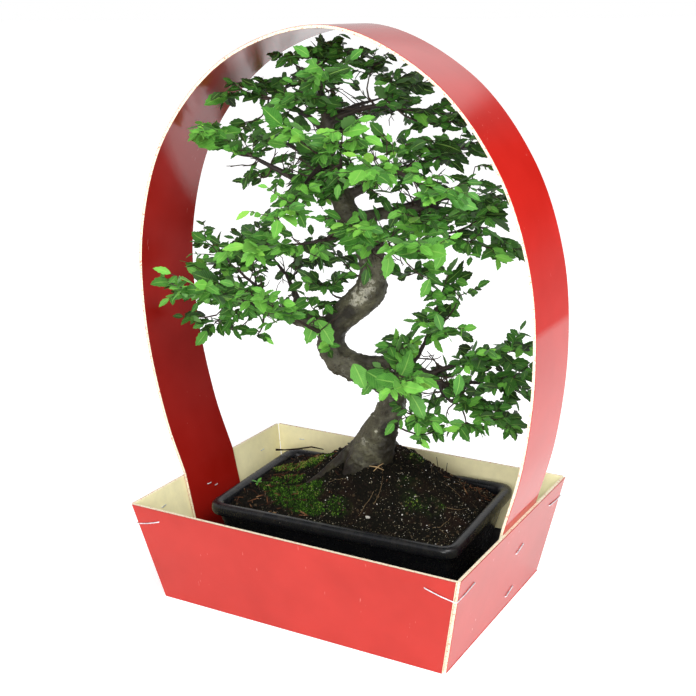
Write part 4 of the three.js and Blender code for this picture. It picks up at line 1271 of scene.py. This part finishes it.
def leaf_materials(settings):
    """The upper side and the underside."""
    # Waxy young leaf: satin green, brighter when young, with a pale midrib and fine side veins
    skin = Skin("living_leaf_waxy_upper_side", 0.45, IOR=1.4, Specular_IOR_Level=0.3)
    # the tone holds each leaf's painted light, brighter in front and darker high up, as well as young leaves and
    # random variation
    tint = skin.ramp(stirred_tone(skin, skin.noise(7, 2)), (0.0, settings.dark), (0.42, settings.green),
                     (0.78, settings.bright), (1.0, "#86C04A"))
    flow = skin.add("SeparateXYZ", skin.add("TexCoord").outputs["UV"])
    away = skin.maths("ABSOLUTE", skin.maths("SUBTRACT", flow.outputs["Y"], 0.5))
    slope = skin.maths("MULTIPLY_ADD", away, -0.55, flow.outputs["X"])
    saw = skin.maths("FRACT", skin.maths("MULTIPLY", slope, 11.0))
    vein = skin.ramp(saw, (0.0, 0.45), (0.14, 0.0), (0.9, 0.0), (1.0, 0.45))
    lines = skin.maths("MAXIMUM", skin.ramp(away, (0.012, 1.0), (0.05, 0.0)), vein)
    veined = skin.mix(skin.maths("MULTIPLY", lines, 0.5), tint, "#9CCB62")
    # Underside: the same leaf without its wax, paler and dull
    under = Skin("living_leaf_dull_underside", 0.7, IOR=1.4)
    # the underside follows the same tone, painted light included
    low = under.ramp(under.attribute("tone"), (0.0, times(settings.under, 0.45)), (1.0, settings.under))
    under.set(Base_Color=low)
    return skin.bumped(veined, lines, 0.35, 0.4, invert=True), under.made


def twig_material(settings):
    # Young elm twig: thin reddish-brown skin, dull
    skin = Skin("young_twig_skin", 0.6, IOR=1.42)
    mottle = skin.noise(2.5, 3)
    tint = skin.ramp(mottle, (0.35, times(settings.twig, 0.6)), (0.7, times(settings.twig, 1.9)))
    return skin.bumped(tint, mottle, 0.4, 0.3)


def read_leaves(bm):
    """Each leaf of a CAD shoot as its foot, tip and facing, read from the fold along its midrib."""
    found = []
    for edge in bm.edges:
        if edge.calc_length() < MIDRIB or len(edge.link_faces) != 2:
            continue
        if not MIDRIB_BEND[0] < math.degrees(edge.calc_face_angle_signed(0)) < MIDRIB_BEND[1]:
            continue
        thirds = [v.co for f in edge.link_faces for v in f.verts if v not in edge.verts]
        wing = (thirds[0] + thirds[1]) / 2
        foot, tip = sorted((v.co.copy() for v in edge.verts), key=lambda end: (wing - end).length)
        found.append((foot, tip, (edge.link_faces[0].normal + edge.link_faces[1].normal).normalized()))
    return found


def read_root(bm, wood):
    """The middle of the shoot's cut end, which is its small three-sided face next to the wood."""
    caps = []
    for face in bm.faces:
        if all(CUT_SIDE[0] < e.calc_length() / MM < CUT_SIDE[1] for e in face.edges):
            middle = face.calc_center_median()
            caps.append((wood.find_nearest(middle)[3], middle.copy(), -face.normal.copy()))
    return min(caps, key=lambda cap: cap[0])[1:]


def stray(draw, side, low, high):
    """A random change of way."""
    return Vector((draw.uniform(-side, side), draw.uniform(-side, side), draw.uniform(low, high)))


def across_from(way, fallback):
    side = way.cross(UP)
    return side.normalized() if side.length > 0.1 else Vector(fallback)


def thicket_tools():
    """The kinds of leaves, and the hoop and the soil that leaves keep clear of."""
    return [leaf_template(*kind) for kind in LEAF_KINDS], *(
        BVHTree.FromBMesh(merged_copy(node)) for node in ("hoop_handle", "soil"))


class Thicket:
    """The leaves and twig lines of one piece, and the tests that keep them inside the hoop."""

    def __init__(self, draw, tools):
        self.draw = draw
        self.kinds, self.hoop, self.soil = tools
        self.leaves = []
        self.lines = []

    def clear(self, place, room=HOOP_ROOM):
        """Whether a place is this far off the hoop, in millimetres, off the soil and within the arch."""
        if self.hoop.find_nearest(place)[3] < room * MM or self.soil.find_nearest(place)[3] < SOIL_ROOM * MM:
            return False
        low, high = CAD_BOX
        if place.z <= LOWEST_LEAF or not all(low[k] + BOX_ROOM < place[k] < high[k] - BOX_ROOM for k in range(3)):
            return False
        x, z = place.x / MM, place.z / MM
        inside = False
        for a, b in zip(ARCH, ARCH[1:] + ARCH[:1]):
            if (a.z > z) != (b.z > z) and x < a.x + (b.x - a.x) * (z - a.z) / (b.z - a.z):
                inside = not inside
        return inside

    def leaf(self, foot, tip, facing, tone, kinds=len(LEAF_KINDS)):
        along = tip - foot
        matrix = Matrix.Translation(foot) @ turned(along, facing) @ Matrix.Scale(along.length, 4)
        self.leaves.append((self.kinds[self.draw.randrange(kinds)], matrix, tone))

    def tone(self, place):
        """Painted light: leaves are brighter in front and further out, where the light falls, and darker high up in
        painted shade. Some are young.
        """
        # Painted light: brighter toward the lamps in front, and darker above 440 mm where the crown is shaded
        front = limited((70 - place.y / MM + 0.25 * place.x / MM) / 150)
        painted_shade_high_up = max(0.0, (place.z / MM - 440) / 90)
        young = 0.28 if self.draw.random() < 0.16 else 0.0
        return limited(0.13 + 0.4 * front + young - 0.25 * painted_shade_high_up + self.draw.uniform(-0.28, 0.28), 0.02, 0.98)

    def stem(self, seat, end, bow, steps, radius, taper):
        """A bowed twig from its seat in the bark to its end, in steps that are shares of its way."""
        line = [seat.lerp(end, t) + bow * 4 * t * (1 - t) for t in steps]
        line[0] = seat - (end - seat).normalized() * 0.5 * MM
        self.lines.append([(p, (radius - taper * k) * MM) for k, p in enumerate(line)])
        return line

    def twiglet(self, start, way, reach, number, size, radius=0.55):
        """A thin zigzag twig with alternate leaves and one at its end."""
        draw = self.draw
        side = across_from(way, (1, 0, 0))
        hand = draw.choice((-1, 1))
        at = start.copy()
        line = [(start, radius * MM)]
        for k in range(number):
            last = k == number - 1
            bent = way - side * hand * 0.28 + UP * draw.uniform(-0.12, 0.3)
            at = at + bent.normalized() * (reach / number) * draw.uniform(0.8, 1.2)
            if not self.clear(at):
                break
            line.append((at.copy(), (radius - 0.28 * (k + 1) / number) * MM))
            out = way * (1.0 if last else 0.55) + side * hand * (0.1 if last else 0.9)
            out = (out.normalized() + UP * draw.uniform(-0.75, 0.3)).normalized()
            long = size * MM * draw.uniform(0.68, 1.2) * (1.05 if last else 1)
            foot = at + out * STALK
            tip = foot + out * long
            facing = LIGHT + Vector((draw.gauss(0, 0.6), draw.gauss(0, 0.6), draw.uniform(-0.5, 0.2)))
            if self.clear(tip) and self.clear(foot.lerp(tip, 0.5), 4):
                self.leaf(foot - out * STALK, tip, facing, self.tone(tip))
            hand = -hand
        if len(line) > 1:
            self.lines.append(line)

    def finish(self, name, materials, *replaced):
        """Makes the piece, with the twigs' skin as third material."""
        bm = copies(self.leaves)
        wood = tubes(self.lines, sides=5)
        for face in wood.faces:
            face.material_index = 2
        take_in(bm, as_mesh(wood))
        finish(bm, name, materials, "leaf", *replaced)


class BONSAI_OT_sprays(bpy.types.Operator):
    """The leafy shoots, each with its toothed leaves and finer side twigs"""
    bl_idname = "bonsai.sprays"
    bl_label = "Leafy shoots"

    def execute(self, context):
        settings = context.scene.bonsai_leaf
        materials = [*leaf_materials(settings), twig_material(context.scene.bonsai_tree)]
        tools = thicket_tools()
        wood = BVHTree.FromBMesh(merged_copy("tree_wood"))
        for node in sorted(name for name in NODES if name.startswith("leaf_spray_")):
            number = int(node[-2:])
            draw = random.Random(100 + number)
            bm = merged_copy(node)
            bm.normal_update()
            root, way = read_root(bm, wood)
            found = sorted(read_leaves(bm), key=lambda leaf: (leaf[0] - root).length)
            bm.free()
            grown = Thicket(draw, tools)
            line = [(root - way * 2.2 * MM, 1.1 * MM), (root, 1.05 * MM)]
            for k, (foot, tip, facing) in enumerate(found):
                joint = foot - (tip - foot).normalized() * STALK
                line.append((joint, (0.95 - 0.5 * (k + 1) / len(found)) * MM))
                grown.leaf(joint, tip, facing, grown.tone(tip))
            grown.lines.append(line)
            for k in range(settings.side_twigs):
                (below, _), (above, _) = line[1 + k * len(found) // settings.side_twigs:][:2]
                here = below.lerp(above, draw.uniform(0.1, 0.9))
                onward = (above - below).normalized()
                hand = 1 if k % 2 else -1
                aside = (onward * draw.uniform(0.3, 0.9)
                         + across_from(onward, (0, -1, 0)) * hand * draw.uniform(0.5, 1)
                         + UP * draw.uniform(-0.45, 0.6)).normalized()
                grown.twiglet(here, aside, draw.uniform(14, 30) * MM, draw.randrange(5, 8), draw.uniform(9, 14.5))
            grown.finish(f"spray_{number:02d}", materials, node)
        return {"FINISHED"}


# Small pads of leaves on twigs of their own: middle, half width and number of twiglets
PADS = [
    ((15, 20, 500), 24, 7), ((-5, 10, 511), 14, 3), ((27, 30, 486), 18, 5), ((-66, 0, 505), 16, 4),
    ((-118, -10, 480), 14, 3), ((-100, 30, 474), 16, 3), ((-29, 0, 514), 10, 3), ((-119, 10, 444), 18, 4),
    ((-99, 0, 396), 14, 3), ((45, 10, 430), 20, 6), ((80, 30, 450), 18, 5), ((108, 30, 412), 14, 4),
    ((-39, -20, 469), 20, 5), ((-35, 20, 291), 22, 7), ((-40, 0, 276), 14, 4), ((-29, 32, 318), 14, 4),
    ((-172, -20, 256), 14, 3), ((-149, -10, 250), 16, 4), ((-92, -20, 248), 10, 2), ((86, 10, 267), 22, 6),
    ((100, 20, 298), 14, 3), ((55, -10, 249), 14, 4), ((66, 0, 186), 18, 5), ((77, 10, 166), 12, 3),
    ((108, 20, 178), 14, 4), ((-140, -20, 437), 12, 3), ((126, 30, 378), 14, 4), ((7, -15, 353), 16, 5),
    ((55, 20, 314), 12, 3),
]


# Large single leaves in front: foot and tip in mm, and tone
LARGE_LEAVES = [
    ((-119, -14, 429), (-160, -23, 435), 0.62), ((-120, -12, 428), (-141, -18, 421), 0.25),
    ((-112, -8, 437), (-139, -14, 437), 0.45), ((-33, 8, 510), (-34, 8, 525), 0.02),
    ((45, -12, 337), (43, -16, 315), 0.66), ((29, -16, 354), (20, -20, 336), 0.5),
    ((101, -18, 345), (96, -24, 330), 0.6), ((86, -14, 318), (79, -18, 302), 0.55),
    ((94, -16, 288), (101, -20, 275), 0.35), ((6, -8, 228), (20, -12, 207), 0.6),
    ((21, -10, 223), (54, -16, 211), 0.42), ((55, -10, 221), (67, -14, 251), 0.5),
    ((63, -12, 222), (90, -18, 221), 0.7), ((118, -18, 237), (116, -22, 218), 0.45),
    ((-32, -10, 266), (-13, -14, 246), 0.6), ((-32, -14, 270), (-40, -18, 244), 0.55),
    ((65, -6, 206), (79, -8, 186), 0.5), ((73, -2, 177), (60, -4, 184), 0.4),
]


class BONSAI_OT_pads(bpy.types.Operator):
    """Leafy pads between the main shoots, large single leaves, each on a thin twig, and a seedling"""
    bl_idname = "bonsai.pads"
    bl_label = "Leafy pads"

    def execute(self, context):
        draw = random.Random(31)
        tools = thicket_tools()
        materials = list(bpy.data.objects["spray_01"].data.materials)
        grown = Thicket(draw, tools)
        bark = bpy.data.objects["tree_bark"].data
        seats = [v.co.copy() for v in bark.vertices if v.index % 9 == 0 and v.co.z > 0.15]
        for middle, half, number in PADS:
            centre = Vector(middle) * MM
            seat = min(seats, key=lambda place: (place - centre).length + 0.35 * max(0, place.z - centre.z))
            way = (centre - seat).normalized()
            bow = Vector((draw.uniform(-0.15, 0.15), draw.uniform(-0.15, 0.15), -0.12)) * (centre - seat).length
            stem = grown.stem(seat, centre, bow, (0, 0.25, 0.5, 0.75, 1), 1.15, 0.15)
            for k in range(number):
                start = stem[-2].lerp(stem[-1], draw.uniform(0, 1)) if k else stem[-1]
                fan = flat_way(2 * math.pi * (k + draw.uniform(-0.3, 0.3)) / number) + UP * draw.uniform(-0.35, 0.45)
                grown.twiglet(start, (fan + way * 0.4).normalized(), half * draw.uniform(0.9, 1.4) * MM,
                              draw.randrange(5, 8), draw.uniform(9.5, 15.5))
        for foot, tip, tone in LARGE_LEAVES:
            foot, tip = Vector(foot) * MM, Vector(tip) * MM
            seat = min(seats, key=lambda place: (place - foot).length)
            grown.stem(seat, foot, UP * -0.1 * (foot - seat).length, (0, 0.33, 0.67, 1), 0.75, 0.12)
            grown.leaf(foot - (tip - foot).normalized() * 0.5 * MM, tip, Vector((0.3, -0.8, 0.5)), tone, 4)
        grown.finish("leafy_pads", materials)
        # A seedling on the soil at the left
        sprout = Thicket(draw, tools)
        root = Mound(draw).top(-100, -14)
        top = root + Vector((-1, -1, 9)) * MM
        sprout.lines.append([(root - UP * MM, 0.5 * MM), (root.lerp(top, 0.5), 0.4 * MM), (top, 0.3 * MM)])
        for reach in ((6, -2, 2), (-5, -4, 2.5), (1, 5, 3), (2, -5, -1)):
            sprout.leaf(top - UP * 0.3 * MM, top + Vector(reach) * MM, UP, 0.5)
        sprout.finish("seedling", materials)
        return {"FINISHED"}


class BONSAI_OT_spurs(bpy.types.Operator):
    """Leafy spurs and bare dark twigs on the branches"""
    bl_idname = "bonsai.spurs"
    bl_label = "Spurs and bare twigs"

    def execute(self, context):
        draw = random.Random(77)
        materials = list(bpy.data.objects["spray_01"].data.materials)
        grown = Thicket(draw, thicket_tools())
        bark = bpy.data.objects["tree_bark"].data
        girth = [0.0] * len(bark.vertices)
        bark.attributes["girth"].data.foreach_get("value", girth)
        seats = [i for i, g in enumerate(girth)
                 if SPUR_GIRTH[0] < g < SPUR_GIRTH[1] and bark.vertices[i].co.z > 0.17]
        for _ in range(context.scene.bonsai_leaf.spurs):
            seat = bark.vertices[draw.choice(seats)]
            way = (seat.normal + stray(draw, 0.5, -0.1, 0.7)).normalized()
            grown.twiglet(seat.co - seat.normal * SEAT_DEPTH, way, draw.uniform(10, 28) * MM,
                          draw.randrange(4, 7), draw.uniform(9.5, 15.5), 0.6)
        grown.finish("leafy_spurs", materials)
        lines = []
        for _ in range(context.scene.bonsai_tree.twigs):
            seat = bark.vertices[draw.choice(seats)]
            at = seat.co - seat.normal * SEAT_DEPTH
            way = (seat.normal + stray(draw, 0.8, -0.3, 0.6)).normalized()
            line = [(at.copy(), 0.75 * MM)]
            steps = draw.randrange(3, 6)
            for k in range(steps):
                way = (way + stray(draw, 0.4, -0.3, 0.4)).normalized()
                at = at + way * draw.uniform(3.5, 7) * MM
                if not grown.clear(at):
                    break
                line.append((at.copy(), (0.7 - 0.3 * (k + 1) / steps) * MM))
                if draw.random() < 0.35:
                    fork = (way + Vector((draw.uniform(-0.9, 0.9), draw.uniform(-0.9, 0.9), 0.1))).normalized()
                    lines.append([(at.copy(), 0.5 * MM), (at + fork * draw.uniform(4, 9) * MM, 0.3 * MM)])
            if len(line) > 1:
                lines.append(line)
        finish(tubes(lines, sides=5), "bare_twigs", [materials[2]], "bark")
        return {"FINISHED"}


# Stage
class BONSAI_OT_studio(bpy.types.Operator):
    """The floor, the lights and the camera"""
    bl_idname = "bonsai.studio"
    bl_label = "Studio"

    def execute(self, context):
        settings = context.scene.bonsai_stage
        bm = bmesh.new()
        bmesh.ops.create_grid(bm, x_segments=1, y_segments=1, size=FLOOR_HALF)
        floor = linked("floor", as_mesh(bm, "floor"))
        # Translucent light table: matt, white, softly lit from below
        table = Skin("light_table", 0.9, Specular_IOR_Level=0.1, Base_Color=settings.floor,
                     Emission_Color=(1, 1, 1), Emission_Strength=settings.table)
        floor.data.materials.append(table.made)

        world = bpy.data.worlds.new("surround")
        world.use_nodes = True
        sky = Nodes(world.node_tree)
        # The backdrop is plain white. The light is white at the horizon, grey above it with a bright belt, and has
        # a dark flag low on the right that the hoop mirrors
        toward = sky.add("TexCoord").outputs["Generated"]
        side = sky.add("VectorMath", toward, FLAG_SIDE, operation="DOT_PRODUCT").outputs["Value"]
        height = sky.add("SeparateXYZ", toward).outputs["Z"]
        flag = sky.maths("MULTIPLY", sky.ramp(side, (0.66, 0.0), (0.74, 0.9)),
                         sky.ramp(height, (0.37, 1.0), (0.40, 0.0)))
        light = sky.ramp(height, *((place, times(settings.sky, share)) for place, share in SKY))
        seen = sky.add("LightPath").outputs["Is Camera Ray"]
        backdrop = sky.mix(seen, sky.mix(flag, light, "#1C1A1B"), settings.sky)
        back = sky.tree.nodes["Background"]
        back.inputs["Strength"].default_value = settings.fill
        sky.feed(back.inputs["Color"], backdrop)
        context.scene.world = world
        context.scene.view_settings.view_transform = "Standard"

        for name, place in LAMPS:
            lamp = bpy.data.lights.new(name, "AREA")
            lamp.size = LAMP_SIZE
            lamp.energy = getattr(settings, name)
            holder = linked(name, lamp)
            holder.location = place
            aim = LAMP_AIM - Vector(place)
            holder.rotation_euler = aim.to_track_quat("-Z", "Y").to_euler()

        yaw, pitch, roll = (math.radians(a) for a in (CAMERA_YAW, CAMERA_PITCH, CAMERA_ROLL))
        ahead = Vector((math.sin(yaw) * math.cos(pitch), math.cos(yaw) * math.cos(pitch), -math.sin(pitch)))
        right = ahead.cross(Vector((0, 0, 1))).normalized()
        up = right.cross(ahead)
        level = math.cos(roll) * right + math.sin(roll) * up
        over = -math.sin(roll) * right + math.cos(roll) * up
        lens = bpy.data.cameras.new("camera")
        lens.sensor_width = 36
        lens.lens = LENS_PIXELS * lens.sensor_width / IMAGE_SIDE
        lens.clip_end = 200
        camera = linked("camera", lens)
        turn = Matrix((level, over, -ahead)).transposed().to_4x4()
        camera.matrix_world = Matrix.Translation(Vector(CAMERA_PLACE) * MM) @ turn
        context.scene.camera = camera
        return {"FINISHED"}


class BONSAI_PT_pieces(bpy.types.Panel):
    """Lists the pieces in the order in which they are built"""
    bl_idname = "BONSAI_PT_pieces"
    bl_label = "Bonsai"
    bl_space_type = "VIEW_3D"
    bl_region_type = "UI"
    bl_category = "Bonsai"

    def draw(self, context):
        for operator in OPERATORS:
            self.layout.operator(operator.bl_idname)
        for name in SETTINGS:
            group = getattr(context.scene, name)
            box = self.layout.box()
            box.label(text=group.bl_rna.name)
            for key in group.__annotations__:
                box.prop(group, key)


SETTINGS = {
    "bonsai_crate": CrateSettings,
    "bonsai_pot": PotSettings,
    "bonsai_ground": GroundSettings,
    "bonsai_tree": TreeSettings,
    "bonsai_leaf": LeafSettings,
    "bonsai_stage": StageSettings,
}
OPERATORS = (BONSAI_OT_crate, BONSAI_OT_hoop, BONSAI_OT_wires, BONSAI_OT_tray, BONSAI_OT_pot,
             BONSAI_OT_soil, BONSAI_OT_litter, BONSAI_OT_wood, BONSAI_OT_sprays, BONSAI_OT_pads,
             BONSAI_OT_spurs, BONSAI_OT_studio)


def register():
    for made in (*SETTINGS.values(), *OPERATORS, BONSAI_PT_pieces):
        bpy.utils.register_class(made)
    for name, group in SETTINGS.items():
        setattr(bpy.types.Scene, name, bpy.props.PointerProperty(type=group))


def unregister():
    for name in SETTINGS:
        delattr(bpy.types.Scene, name)
    for made in reversed((*SETTINGS.values(), *OPERATORS, BONSAI_PT_pieces)):
        bpy.utils.unregister_class(made)


def main():
    register()
    for operator in OPERATORS:
        area, name = operator.bl_idname.split(".")
        getattr(getattr(bpy.ops, area), name)()


if __name__ == "__main__":
    main()
